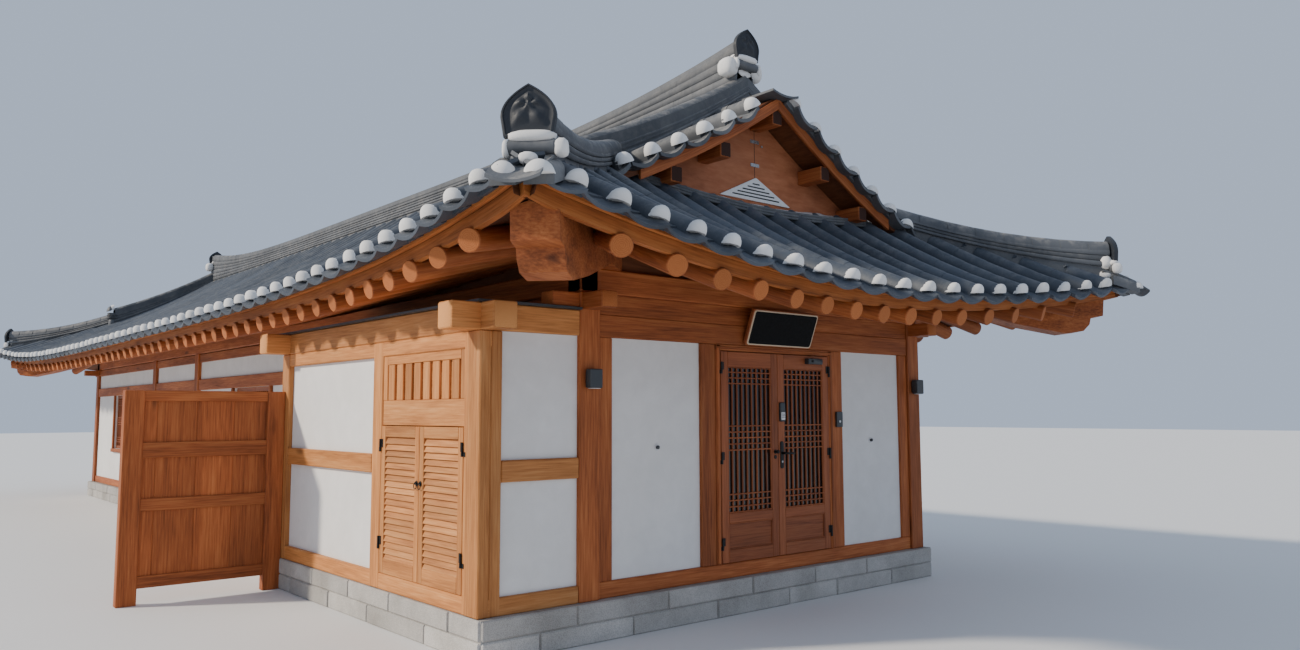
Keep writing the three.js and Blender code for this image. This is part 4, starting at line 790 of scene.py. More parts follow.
def rafters(slope):
    """Round rafters a step apart, fanning out past the last column and stopped by the hip rafter."""

    def gap(points):
        """Distance of plan points from the hip rafter's face, positive on this slope."""
        along, out = points.T
        offset = -hip_offset(out, along) if slope.side else hip_offset(along, out)
        return offset - HIP_RAFTER_HALF + 0.03

    outer_drop, span, spaces, fanned = SIDE_RAFTERS if slope.side else FRONT_RAFTERS
    fanned = np.array(fanned)
    outer = np.concatenate([-fanned[::-1], np.linspace(-span, span, spaces + 1), fanned])
    fan = slope.corner - FAN_FROM
    inner = np.sign(outer) * np.minimum(np.abs(outer), fan + np.maximum(np.abs(outer) - fan, 0) * 0.3)
    starts = np.stack([outer, slope.edge(outer) - RAFTER_SETBACK], 1)
    ends = np.stack([inner, np.full_like(inner, slope.wall - 0.35)], 1)
    start_gap, end_gap = gap(starts), gap(ends)
    part = np.where(end_gap < 0, start_gap / np.maximum(start_gap - end_gap, 1e-9), 1.0)
    part = np.clip(part, 0, 1)
    ends = starts + (ends - starts) * part[:, None]
    keep = start_gap > 0.02
    inner_drop = blend(outer_drop, RAFTER_DROP_INNER, part[keep])
    low, high = [slope.spot(*points[keep].T, slope.levels(*points[keep].T)[1] - drop)
                 for points, drop in ((starts, outer_drop), (ends, inner_drop))]
    form = Form()
    logs(form, low, high, RAFTER_RADIUS * rng.uniform(0.95, 1.03, len(low)), sides=18)
    build(form, f"rafter_logs_{slope.name}", frame_timber, stands_for=[f"rafters_{slope.name}"])


def wall_infill():
    """Boards that close the wall between the purlins and the roof bed."""
    form = Form()
    for slope in SLOPES:
        at = np.linspace(-slope.corner, slope.corner, 60)
        under = slope.levels(at, np.full_like(at, slope.wall))[1]
        strip(form, slope, at, slope.wall + 0.02, slope.wall - 0.02, PURLIN_TOP - 0.01, under + 0.03)
    # Darkened as painted shade under the eaves.
    build(form, "wall_infill", [painted_shade_wood])


for slope in SLOPES:
    tile_slope(slope)
    eave_boards(slope)
    rafters(slope)
wall_infill()


# Ridges


def course(form, plan, low, high, across, section, tile=0.3, phase=0.0, flare=0.03):
    """One course of a ridge: tiles laid end to end between two height lines. The section's first numbers are
    metres either side of the ridge's middle, its second 0 at the low line and 1 at the high one."""
    travelled = np.concatenate([[0], np.cumsum(np.linalg.norm(np.diff(plan, axis=0), axis=1))])
    joints = np.arange(-phase * tile, travelled[-1], tile)[1:]
    joints = np.concatenate([[0], joints[(joints > 0.06) & (joints < travelled[-1] - 0.06)], [travelled[-1]]])
    distances = np.repeat(joints, 2)[1:-1]
    sizes = np.tile([1 + flare, 1 - flare], len(joints) - 1)
    points = np.stack([np.interp(distances, travelled, plan[:, axis]) for axis in range(2)], 1)
    low, high = np.interp(distances, travelled, low), np.interp(distances, travelled, high)
    aside = section[None, :, 0] * sizes[:, None]
    height = low[:, None] + (high - low)[:, None] * section[None, :, 1]
    rings = np.concatenate([points[:, None] + aside[..., None] * across[:2], height[..., None]], -1)
    tubes(form, rings[None])


def flat_course(half):
    """Section of a course of flat tiles: a slab with rounded edges."""
    edge = np.array([[0.94, 0.04], [1, 0.24], [1, 0.7], [0.96, 0.9]])
    right = edge * [half, 1]
    return np.concatenate([right, right[::-1] * [-1, 1]])


def arched_course(half, steps=9):
    """Section of a course of round tiles."""
    angle = np.linspace(0, np.pi, steps)
    arch = np.stack([half * np.cos(angle), 0.16 + 0.84 * np.sin(angle)], 1)
    return np.concatenate([[[half, 0.0]], arch, [[-half, 0.0]]])


def ridge(form, plan, base, top, across, half, layers, cap=0.085, cap_half=0.088, roll=0.0, foot=0.0):
    """A tiled ridge: an upright foot, a rounded course if roll is set, flat courses, and round tiles."""
    core = np.array([[1, 0], [1, 1], [-1, 1], [-1, 0]]) * [half - (0.014 if foot else 0.03), 1]
    course(form, plan, base - 0.12, top - cap * 0.5, across, core, flare=0)
    seat = base
    if roll:
        middle = half - roll * 0.42
        angle = np.linspace(-np.pi / 2, np.pi / 2, 7)
        for sign in (1, -1):
            bulge = np.stack([sign * (middle + roll * 0.5 * np.cos(angle)), 0.5 + 0.5 * np.sin(angle)], 1)
            section = np.concatenate([bulge, [[sign * middle * 0.6, 1], [sign * middle * 0.6, 0]]])
            course(form, plan, seat, seat + roll, across, section, phase=0.4, flare=0.008)
        seat = seat + roll
    seat = seat + foot
    for layer in range(layers):
        low = blend(seat, top - cap, layer / layers)
        high = blend(seat, top - cap, (layer + 1) / layers)
        width = half - 0.006 - 0.004 * (layer % 2) - 0.003 * layer
        course(form, plan, low, high, across, flat_course(width), phase=0.37 * layer + 0.2, flare=0.006)
    course(form, plan, top - cap * 1.1, top, across, arched_course(cap_half), phase=0.6, flare=0.03)


def shield_outline(half, height):
    """Upright sides that lean out a little, then two curves that meet in a blunt point."""
    side = np.stack([np.linspace(0.88, 1.0, 5), np.linspace(0, 0.38, 5)], 1)
    turn = np.linspace(0.08, 1, 11)
    arch = np.stack([1 - turn**2.2, 0.38 + 0.62 * turn], 1)
    right = np.concatenate([side, arch])
    foot = np.stack([np.linspace(-0.72, 0.72, 7), np.zeros(7)], 1)
    return np.concatenate([foot, right, right[-2::-1] * [-1, 1]]) * [half, height]


def end_tile(form, foot, across, outward):
    """Shield at a ridge's end: its outline drawn in towards the middle, with a raised rim and a five-petalled
    rosette whose height falls away from a circle and waves with the angle."""
    half, height, thick = 0.165, 0.315, 0.04
    outline = shield_outline(half, height)
    middle = np.array([0, 0.6 * height])
    inward = np.array([1, 1, 1, 0.97, 0.91, 0.885, 0.8, 0.7, 0.6, 0.5, 0.4, 0.3, 0.2, 0.1, 0.02])
    depth = np.zeros(len(inward))
    depth[:8] = -thick, -thick * 0.5, 0, 0.004, 0.004, -0.006, -0.006, -0.006
    spread = outline - middle
    angle = np.arctan2(spread[:, 1], spread[:, 0])
    petals = 0.5 + 0.5 * np.cos(5 * (angle - np.pi / 2))
    flower = 0.02 * np.exp(-(((inward - 0.38) / 0.16) ** 2))[:, None] * petals
    bead = 0.018 * np.exp(-((inward / 0.12) ** 2))[:, None]
    field = (inward <= 0.8)[:, None]
    relief = depth[:, None] + field * (flower + bead - 0.004)
    flat = middle + inward[:, None, None] * spread
    rings = foot + flat[..., :1] * across + flat[..., 1:] * UP + relief[..., None] * outward
    tubes(form, rings[None], 0.5)


def lump(form, centre, sizes, axes=np.eye(3), knobbly=0.06):
    """Daub of plaster: an ellipsoid on a grid of latitude and longitude, squared off a little and uneven."""

    def squared(v):
        return np.sign(v) * np.abs(v) ** 0.72

    latitude = np.radians([-89, -62, -36, -12, 12, 36, 62, 89])[:, None]
    longitude = np.arange(14) / 14 * 2 * np.pi
    ball = np.stack([squared(np.cos(latitude)) * squared(np.cos(longitude)),
                     squared(np.cos(latitude)) * squared(np.sin(longitude)),
                     squared(np.sin(latitude)) * np.ones_like(longitude)], -1)
    ball *= 1 + knobbly * (rng.random(ball.shape[:2] + (1,)) - 0.5)
    tubes(form, (centre + (ball * sizes) @ axes)[None])


def ridge_end(tiles, dark, plaster, foot, across, outward, low=-0.14, high=0.14, cheek=0.022):
    """What carries an end tile: a round tile laid across on plaster, its ends plugged, and a daub of plaster
    over the shield's foot."""
    axes = np.array([across, outward, UP])
    middle, half = foot + (low + high) / 2 * across, (high - low) / 2
    lump(plaster, middle - 0.05 * outward - 0.01 * UP, [half, 0.07, 0.05], axes)
    bed = foot + 0.03 * outward + 0.06 * UP
    logs(tiles, bed + low * across, bed + high * across, 0.046, sides=16)
    lump(plaster, bed + (low - 0.008) * across - 0.01 * UP, [0.022, 0.05, 0.056], axes)
    lump(plaster, bed + (high + cheek * 0.8) * across - 0.01 * UP, [cheek, 0.05, 0.056], axes)
    lump(plaster, middle + 0.03 * outward + 0.12 * UP, [half + 0.006, 0.06, 0.036], axes)
    lump(plaster, middle - 0.04 * outward + 0.13 * UP, [half - 0.02, 0.07, 0.08], axes)
    end_tile(dark, foot + 0.06 * outward + 0.115 * UP, across, outward)


def main_ridge():
    """Ridge that rises towards its ends, with an end tile between two daubs of plaster at each."""
    tiles, dark, plaster = Form(), Form(), Form()
    y = np.linspace(-RIDGE_END, RIDGE_END, 90)
    plan = np.stack([np.zeros_like(y), y], 1)
    base = side_levels(y, np.full_like(y, 0.13))[0] + 0.07
    top = blend(5.13, 5.46, np.abs(y / RIDGE_END) ** 4.5)
    across = np.array([1.0, 0, 0])
    ridge(tiles, plan, base, top, across, RIDGE_HALF, 6, roll=0.085)
    for end, _ in ENDS:
        foot = np.array([0, end * (RIDGE_END - 0.01), 5.11])
        ridge_end(tiles, dark, plaster, foot, across, np.array([0, end, 0.0]))
        for sign in (-1, 1):
            lump(plaster, np.array([sign * 0.17, end * (RIDGE_END - 0.06), 5.14]), [0.085, 0.1, 0.095])
    build(tiles, "main_ridge_tiles", [ridge_clay], stands_for=["main_ridge"])
    build(dark, "main_ridge_end_tiles", [end_clay])
    build(plaster, "main_ridge_plaster", [plug_plaster], sharp=70)


def descending_ridge(tiles, flip):
    """Ridge down beside the verge."""
    x = np.linspace(0.0, DESCENDING_FOOT, 32)
    y = np.full_like(x, DESCENDING_Y)
    bed = side_levels(y, x)[0]
    top = bed + 0.345 + 0.11 * x / DESCENDING_FOOT
    ridge(tiles, np.stack([x, y], 1) * flip[:2], bed + 0.02, top, np.array([0, 1.0, 0]), HIP_RIDGE_HALF, 4,
          cap=0.1, cap_half=0.095, foot=0.12)


def descending_foot(tiles, plaster, flip):
    """Thin rounded courses and a plugged round tile at the lower end of the descending ridge."""
    low = np.array([DESCENDING_FOOT, DESCENDING_Y, side_levels(DESCENDING_Y, DESCENDING_FOOT)[0]]) * flip
    for layer in range(4):
        size = 0.122 - 0.003 * layer
        lump(tiles, low + [0.02 * flip[0], 0, 0.235 + 0.032 * layer], [size, size, 0.019], knobbly=0.01)
    lump(tiles, low + [0, 0, 0.12], [0.1, 0.1, 0.13], knobbly=0.01)
    across, down = np.array([0, 1.0, 0]), unit(np.array([flip[0], 0, -0.4]))
    plug(plaster, low + [0.045 * flip[0], 0, 0.405], across, UP, down, 0.104, 0.11)
    plug(tiles, low + [0.085 * flip[0], 0, 0.385], across, UP, down, 0.1, 0.1)
    lump(plaster, np.array([1.74, GABLE + 0.13, 3.79]) * flip, [0.2, 0.06, 0.05], knobbly=0.1)


def corner_ridges(x_side, y_side, name):
    """The descending ridge, and the ridge along the hip that curls up to its end tile over the wide hollow
    tile of the corner."""
    tiles, dark, plaster = Form(), Form(), Form()
    flip = np.array([x_side, y_side, 1.0])
    descending_ridge(tiles, flip)
    top, corner = np.array([HIP_TOP_X, GABLE]), np.array([CORNER_X, HALF_L + EAVE_CORNER])
    run = np.linalg.norm(corner - top)
    toward = (corner - top) / run
    along = np.linspace(-0.2, run - 0.18, 40)
    quarter = top + along[:, None] * toward
    bed = hip_z(1 - quarter[:, 0] / CORNER_X)
    curl = 0.126 * np.clip((along - 0.6) / (along[-1] - 0.6), 0, 1) ** 2
    across, outward = np.array([-toward[1], toward[0], 0]) * flip, np.array([*toward, 0]) * flip
    ridge(tiles, quarter * flip[:2], bed + 0.1 + curl * 0.35, bed + 0.313 + curl, across, HIP_RIDGE_HALF, 3,
          cap=0.105, cap_half=0.1)
    foot = np.array([*quarter[-1], bed[-1] + 0.067]) * flip
    ridge_end(tiles, dark, plaster, foot, across, outward, -0.125, 0.158, 0.042)
    corner = np.array([*corner, 0]) * flip
    reach, height = np.array([[0.2, 0.05, -0.1, -0.28], [3.0, 3.1, 3.17, 3.22]])[..., None]
    swept(tiles, corner + reach * outward + height * UP, across, UP, hollow_section(0.31, 0.035, 0.018))
    middle = corner - 0.02 * outward + 0.03 * across + 3.17 * UP
    lump(plaster, middle, [0.055, 0.06, 0.035], np.array([across, outward, UP]))
    reach, height = np.array([[0.07, -0.2], [3.05, 3.14]])[..., None]
    for aside, half in ((-0.092, 0.075), (0.115, 0.088)):
        path = corner + aside * across + reach * outward + height * UP
        swept(tiles, path, across, UP, round_section(half, 0.084))
        plug(plaster, path[0], across, UP, outward, half, 0.084)
    descending_foot(tiles, plaster, flip)
    build(tiles, f"corner_ridge_tiles_{name}", [ridge_clay], stands_for=[f"corner_ridge_{name}"])
    build(dark, f"corner_end_tile_{name}", [end_clay])
    build(plaster, f"corner_ridge_plaster_{name}", [plug_plaster], sharp=70)


main_ridge()
for x_side, y_side, name in CORNERS:
    corner_ridges(x_side, y_side, name)


# Verges and the feet of the gables


def verge_seat(x, y, lift):
    """Points over the bed on lines square to the verge, with the directions down the slope and above it."""
    step = 0.02
    top = side_levels(y, x)[0]
    lower, upper = (side_levels(y, np.abs(x) + shift)[0] for shift in (step, -step))
    fall = (lower - upper) / (2 * step) * np.sign(x)
    across = unit(np.stack([np.ones_like(x), np.zeros_like(x), fall], -1))
    above = unit(np.cross(across, [0, 1.0, 0]))
    above *= np.sign(above[..., 2:])
    return np.stack([x, y, top], -1) + lift * above, across, above


def verge(end, name):
    """Short rows of tiles from the descending ridge out over the gable, with their plaster plugs."""
    tiles, plugs = Form(), Form()
    inner = DESCENDING_Y + 0.02
    round_y = end * np.array([VERGE + 0.05, VERGE - 0.22, VERGE - 0.22, inner])
    hollow_y = end * np.array([VERGE + 0.12, VERGE - 0.12, VERGE - 0.12, inner])
    lift = (HOLLOW_LIFT + np.array([-0.016, 0, 0.014, 0]))[:, None]
    for side, first, count in VERGE_ROWS:
        for row in first + VERGE_PITCH * np.arange(count):
            path, across, above = verge_seat(np.full(4, side * row), round_y, 0.042)
            swept(tiles, path, across, above, round_section(), np.array([1.03, 0.97, 1.03, 0.97]))
            plug(plugs, path[0], across[0], above[0], np.array([0, end, 0.0]))
            path, across, above = verge_seat(np.full(4, side * (row + VERGE_PITCH / 2)), hollow_y, 0)
            swept(tiles, path + lift * above, across, above, hollow_section(VERGE_PITCH * 1.02, thick=0.034))
    path = np.stack([np.zeros(4), hollow_y, side_levels(hollow_y, np.full(4, 0.05))[0] + 0.02], -1)
    swept(tiles, path, [1, 0, 0], UP, hollow_section(PITCH, 0.03))
    build(tiles, f"verge_tiles_{name}", [ridge_clay])
    build(plugs, f"verge_plugs_{name}", [plug_plaster], sharp=60)


def gable_foot(end, name):
    """Sagging strip of stacked tiles at the foot of the gable, with plaster along the wall above it."""
    tiles, plaster = Form(), Form()
    x = np.linspace(-1.78, 1.78, 40)
    level = front_levels(x, np.full_like(x, GABLE + 0.06))[0]
    plan = np.stack([x, np.full_like(x, end * (GABLE + 0.085))], 1)
    for layer in range(3):
        low = level + 0.02 + 0.029 * layer
        section = flat_course(0.1 - 0.01 * layer)
        course(tiles, plan, low, low + 0.029, np.array([0, 1.0, 0]), section, 0.3, 0.3 * layer, 0.01)
    daub = np.array([[0.03, 0.0], [0.03, 0.6], [-0.03, 1.0], [-0.09, 1.15], [-0.09, 0.0]])
    plan = np.stack([x, np.full_like(x, end * (GABLE + 0.05))], 1)
    wavy = 0.006 * rng.standard_normal(len(x))
    course(plaster, plan, level + 0.05, level + 0.155 + wavy, np.array([0, float(end), 0]), daub, 0.07,
           flare=0.0)
    build(tiles, f"gable_foot_tiles_{name}", [ridge_clay])
    build(plaster, f"gable_foot_plaster_{name}", [plug_plaster], sharp=60)


for end, name in ENDS:
    verge(end, name)
    gable_foot(end, name)


# Timber frames


def paint_nodes(material, *names):
    """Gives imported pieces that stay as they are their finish."""
    for name in names:
        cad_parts[name].data.materials.clear()
        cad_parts[name].data.materials.append(material)


def timbers(name, boxes, chamfer, finishes, **options):
    """Makes one piece of squared timbers."""
    form = Form()
    bars(form, boxes, chamfer)
    build(form, name, finishes, **options)


def bay_middle(bay):
    return (COLUMN_AT[bay] + COLUMN_AT[bay + 1]) / 2


def side_frame(side, name):
    """Columns, sill, beam with its ends, rails and window frames; x is measured outwards from the middle."""
    end = HALF_L + COLUMN
    inner, outer = HALF_W + APPLIED_BACK, HALF_W + APPLIED
    boxes = [[HALF_W - COLUMN, HALF_W + COLUMN, y - COLUMN, y + COLUMN, BASE_TOP, BEAM_TOP]
             for y in COLUMN_AT]
    boxes += [[HALF_W - 0.08, HALF_W + 0.08, -end - BEAM_END, end + BEAM_END, SIDE_BEAM_LOW, BEAM_TOP - 0.01],
              [HALF_W - 0.075, HALF_W + 0.075, -end + 0.01, end - 0.01, BASE_TOP, SILL_TOP]]
    boxes += [[inner, outer, near, far, *RAIL]
              for near, far in zip(COLUMN_AT[:-1] + COLUMN, COLUMN_AT[1:] - COLUMN)]
    boxes += [[HALF_W, HALF_W + COLUMN + BEAM_END, y - 0.08, y + 0.08, 2.575, 2.69]
              for y in (-HALF_L, HALF_L)]
    for bay in WINDOW_BAYS:
        y = bay_middle(bay)
        out, low = WINDOW_HALF + WINDOW_FRAME, WINDOW_LOW - WINDOW_FRAME
        boxes += [[inner, outer + 0.012, y - out - 0.03, y + out + 0.03, low, WINDOW_LOW],
                  [inner, outer, y - out, y - WINDOW_HALF, WINDOW_LOW, RAIL[0]],
                  [inner, outer, y + WINDOW_HALF, y + out, WINDOW_LOW, RAIL[0]]]
    boxes = np.array(boxes) * [side, side, 1, 1, 1, 1]
    timbers(f"wall_timbers_{name}", boxes, 0.007, frame_timber, stands_for=[f"{name}_timber_frame"])


def end_timbers(end, name, boxes):
    """Makes an end wall's timbers: sill, lintel, beam, the strips beside the corner columns, and the given
    boxes. Every y is measured outwards from the wall's middle."""
    inside = HALF_W - COLUMN - 0.001
    wall = [[-inside, inside, -0.075, 0.075, BASE_TOP, SILL_TOP],
            [-inside, inside, -0.085, 0.085, PANEL_TOP, LINTEL_TOP],
            [-inside, inside, -0.08, 0.08, LINTEL_TOP, BEAM_TOP]]
    wall += [[side * 1.95, side * inside, -0.075, 0.075, SILL_TOP, PANEL_TOP] for side in (-1, 1)]
    boxes = np.array(wall + boxes)
    boxes[:, 2:4] = end * (HALF_L + boxes[:, 2:4])
    timbers(f"{name}_timbers", boxes, 0.006, frame_timber, stands_for=[f"{name}_timber_frame"])


def hinge_parts(form, x, y, heights, barrel, toward, across=True):
    """Barrels on a hinge's axis between two heights about each middle, and a screwed plate beside each,
    towards +1 or -1 across the front, or else along the side."""

    def placed(run, out, z):
        return [x + run, y + out, z] if across else [x + out, y + run, z]

    low, high = barrel
    for z in heights:
        logs(form, [x, y, z + low], [x, y, z + high], 0.009, 16, 0.0015)
        plate = np.transpose([placed(0, 0.0048, z + low), placed(toward * 0.036, 0.0098, z + high)])
        bars(form, plate, 0.0012)
        for lift in (0.25, 0.75):
            screw = [placed(toward * 0.026, out, z + blend(low, high, lift)) for out in (0.0062, 0.003)]
            logs(form, *screw, 0.0042, 8, 0.0012)


def front_frame():
    """Posts beside the front door, its frame with a stop on it, and the fixed halves of its hinges."""
    boxes = []
    for side in (-1, 1):
        boxes += [[side * 0.8, side * 0.97, -0.074, 0.084, SILL_TOP, PANEL_TOP],
                  [side * FRAME_INNER, side * 0.8, -0.073, DOOR_FACE, SILL_TOP, PANEL_TOP - 0.001],
                  [side * 0.765, side * 0.793, 0.09, DOOR_FACE + 0.009, SILL_TOP + 0.01, PANEL_TOP - 0.03]]
    boxes += [[-0.8, 0.8, -0.073, DOOR_FACE, DOOR_TOP + 0.006, PANEL_TOP + 0.002],
              [-0.793, 0.793, 0.09, DOOR_FACE + 0.009, 2.31, 2.332]]
    end_timbers(-1, "front", boxes)
    iron = Form()
    for side in (-1, 1):
        hinge_parts(iron, side * HINGE_X, HINGE_Y, DOOR_HINGES, FIXED_BARREL, side)
    build(iron, "front_hinge_plates", [black_iron])


def back_frame():
    """Frame of the back window."""
    half, low = WINDOW_HALF, WINDOW_LOW - WINDOW_FRAME
    boxes = [[side * half, side * (half + WINDOW_FRAME), APPLIED_BACK, APPLIED, SILL_TOP, PANEL_TOP]
             for side in (-1, 1)]
    boxes += [[-half, half, APPLIED_BACK, APPLIED, RAIL[0], RAIL[0] + WINDOW_FRAME],
              [-half - 0.01, half + 0.01, APPLIED_BACK, APPLIED + 0.01, low, WINDOW_LOW]]
    end_timbers(1, "back", boxes)


def purlins():
    """Squared purlins along the tops of the four walls."""
    half, boxes = 0.09, []
    for side in (-1, 1):
        x, y = side * HALF_W, side * HALF_L
        boxes += [[x - half, x + half, -HALF_L - half, HALF_L + half, BEAM_TOP, PURLIN_TOP],
                  [-HALF_W - half, HALF_W + half, y - half, y + half, BEAM_TOP, PURLIN_TOP]]
    timbers("purlin_timbers", boxes, 0.012, frame_timber, stands_for=["eave_purlins"])


def lattice_boxes(x0, x1, z0, z1, count, heights, face, deep=0.018, thick=0.015):
    """Upright bars evenly spaced between x0 and x1, and level bars at heights, just behind a face."""
    middles = x0 + (x1 - x0) * np.arange(1, count + 1) / (count + 1)
    boxes = [[x - thick / 2, x + thick / 2, face, face + deep, z0, z1] for x in middles]
    return boxes + [[x0, x1, face - 0.001, face + deep - 0.002, z - thick / 2, z + thick / 2]
                    for z in heights]


def windows():
    """Sashes with a dark pane, a middle stile and a lattice in bands at the top, middle and foot."""
    low, high = WINDOW_LOW + 0.001, RAIL[0] - 0.001
    stile, rail, half = 0.055, 0.06, 0.02
    bands = low + 0.035 + np.array([0.1, 0.145, 0.19, 0.45, 0.495, 0.54, 0.585, 0.84, 0.885, 0.93])
    boxes, panes = [], []
    for x0, x1 in ((-WINDOW_HALF + 0.001, -0.001), (0.001, WINDOW_HALF - 0.001)):
        a, b = x0 + stile, x1 - stile
        boxes += [[x0, a, -half, half, low, high], [b, x1, -half, half, low, high],
                  [a, b, -half, half, low, low + rail], [a, b, -half, half, high - rail, high]]
        boxes += lattice_boxes(a, b, low + rail, high - rail, 7, bands, 0.0)
        panes.append([x0 + 0.05, x1 - 0.05, -0.004, 0.001, low + 0.05, high - 0.05])

    def in_wall(boxes, name):
        """Boxes given along and out of a wall, put in the window's own wall."""
        along, out, level = np.split(np.array(boxes), 3, axis=1)
        if name == "back_window":
            return np.concatenate([along, out + HALF_L, level], 1)
        side = -1 if name.startswith("left") else 1
        return np.concatenate([side * (HALF_W + out), bay_middle(int(name[-1]) - 1) + along, level], 1)

    for name in ("left_window_2", "left_window_4", "right_window_2", "right_window_4", "back_window"):
        timbers(f"{name}_lattice", in_wall(boxes, name), 0.003, door_timber, stands_for=[name],
                slot="window_timber")
        timbers(f"{name}_pane", in_wall(panes, name), 0.001, [glass])


# Front door


def front_leaf(side, name):
    """Stiles, rails, a lower board in a frame and the lattice; x runs from the hinge to the meeting stile."""
    body = f"front_leaf_{name}"
    hinge, wide = side * HINGE_X, DOOR_STILE
    near, far = hinge - side * 0.003, side * 0.0025
    face, back = FRONT - DOOR_FACE, FRONT - DOOR_FACE + 0.042
    low, high, bottom, top = DOOR_LOW, DOOR_TOP, 0.862, DOOR_TOP - 0.136
    inner, outer = sorted((near - side * wide, far + side * wide))
    boxes = [[near, near - side * wide, face, back, low, high],
             [far, far + side * wide, face, back, low, high],
             [inner, outer, face, back, top, high], [inner, outer, face, back, bottom - wide, bottom],
             [inner, outer, face, back, low, low + 0.11],
             [inner, outer, face + 0.014, back - 0.01, low + 0.1, bottom - 0.08]]
    bead, bead_face, bead_back = 0.011, face + 0.004, face + 0.022
    for z0, z1 in ((bottom, top), (low + 0.11, bottom - wide)):
        boxes += [[x0, x1, bead_face, bead_back, *level]
                  for x0, x1, *level in ((inner, inner + bead, z0, z1), (outer - bead, outer, z0, z1),
                                         (inner, outer, z0, z0 + bead), (inner, outer, z1 - bead, z1))]
    boxes += lattice_boxes(inner, outer, bottom, top, 8, top - DOOR_BANDS, face + 0.008, 0.016, 0.013)
    form, iron = Form(), Form()
    bars(form, boxes, 0.0035)
    hinge_parts(iron, hinge, HINGE_Y, DOOR_HINGES, LEAF_BARREL, -side)
    build(form, f"front_leaf_wood_{name}", door_timber, body, [f"front_door_{name}"])
    build(iron, f"front_leaf_hinges_{name}", [black_iron], body)
    pane = [inner - 0.004, outer + 0.004, face + 0.0264, face + 0.0324, bottom - 0.004, top + 0.004]
    timbers(f"front_leaf_pane_{name}", [pane], 0.001, [glass], body=body,
            stands_for=[f"front_door_glass_{name}"])


def rounded_outline(half, low, high, radius):
    """A rectangle from -half to half and from low to high, with quarter circles at its corners."""
    angle = np.radians(np.arange(0, 91, 15)) + np.arange(4)[:, None] * np.pi / 2
    right, upper, lower = half - radius, high - radius, low + radius
    centres = np.array([[right, upper], [-right, upper], [-right, lower], [right, lower]])
    return (centres[:, None] + radius * np.stack([np.cos(angle), np.sin(angle)], -1)).reshape(-1, 2)


def rounded_plate(form, x, z, half_x, half_z, radius, y_back, y_front, ease=0.002):
    """An upright plate facing the front, with rounded corners and its front edge eased."""
    outline = rounded_outline(half_x, -half_z, half_z, radius)
    rings = []
    for y, shrink in ((y_back, 0), (y_front + ease * np.sign(y_back - y_front), 0), (y_front, ease)):
        flat = outline * (1 - shrink / np.array([half_x, half_z])) + [x, z]
        rings.append(np.insert(flat, 1, y, axis=1))
    tubes(form, np.array(rings)[None], 0.5)


def door_fittings():
    """Key pad, lever and plate on the right leaf, closer above, and knob and thumb turn on the left one."""
    face, middle, body = FRONT - DOOR_FACE, FITTING_X, "front_leaf_right"
    seat = face - 0.0003
    lock, pad, keys = Form(), Form(), Form()
    rounded_plate(lock, middle, 1.75, 0.033, 0.089, 0.012, seat, face - 0.026, 0.005)
    rounded_plate(pad, middle, 1.712, 0.026, 0.036, 0.006, face - 0.024, face - 0.0285, 0.0015)
    for key in range(9):
        x, z = middle + (key % 3 - 1) * 0.015, 1.73 - key // 3 * 0.015
        rounded_plate(keys, x, z, 0.0045, 0.0045, 0.004, face - 0.028, face - 0.0298, 0.0008)
    build(lock, "key_pad_case", [grey_iron], body, ["door_lock"])
    build(pad, "key_pad", [white_enamel], body)
    build(keys, "key_pad_keys", [grey_iron], body)
    plate, brass, z = Form(), Form(), 1.369
    rounded_plate(plate, middle, 1.353, 0.023, 0.125, 0.02, seat, face - 0.008)
    logs(plate, [middle, face - 0.004, z], [middle, face - 0.052, z], 0.011, 16, 0.001)
    turn = np.radians(np.linspace(0, 90, 7))
    bend = np.stack([middle + 0.014 * (1 - np.cos(turn)), face - 0.046 - 0.014 * np.sin(turn),
                     np.full(7, z)], 1)
    grip = [[middle + 0.07, face - 0.06, z - 0.001], [middle + 0.118, face - 0.058, z - 0.004]]
    path = np.concatenate([[[middle, face - 0.035, z]], bend, grip])
    along = unit(np.gradient(path, axis=0))
    across = unit(np.cross(along, UP))
    angle = np.arange(12) / 12 * 2 * np.pi
    oval = np.stack([0.0065 * np.cos(angle), 0.0095 * np.sin(angle)], 1)
    swept(plate, path, across, np.cross(across, along), oval)
    logs(brass, [middle, face - 0.006, 1.29], [middle, face - 0.0115, 1.29], 0.0105, 16, 0.0015)
    build(plate, "lever_and_plate", [black_iron], body, ["door_handle"])
    build(brass, "key_cylinder", [bright_iron], body)
    closer, arm, z = Form(), Form(), 2.235
    rounded_plate(closer, 0.50, z, 0.105, 0.027, 0.01, seat, face - 0.052, 0.004)
    bars(arm, [[0.44, 0.46, face - 0.062, face - 0.056, z - 0.009, z + 0.009]], 0.002)
    logs(arm, [0.45, face - 0.05, z], [0.45, face - 0.064, z], 0.012, 14, 0.002)
    build(closer, "door_closer", [grey_iron], body)
    build(arm, "door_closer_cap", [black_iron], body)
    knob, z = Form(), 1.385
    for height, radius in ((z, 0.019), (1.335, 0.017)):
        logs(knob, [-middle, seat, height], [-middle, face - 0.006, height], radius, 20, 0.0015)
    logs(knob, [-middle, face - 0.004, z], [-middle, face - 0.03, z], 0.009, 14, 0.001)
    lump(knob, np.array([-middle, face - 0.036, z]), [0.017, 0.012, 0.017], knobbly=0)
    build(knob, "left_leaf_knob", [black_iron], "front_leaf_left")


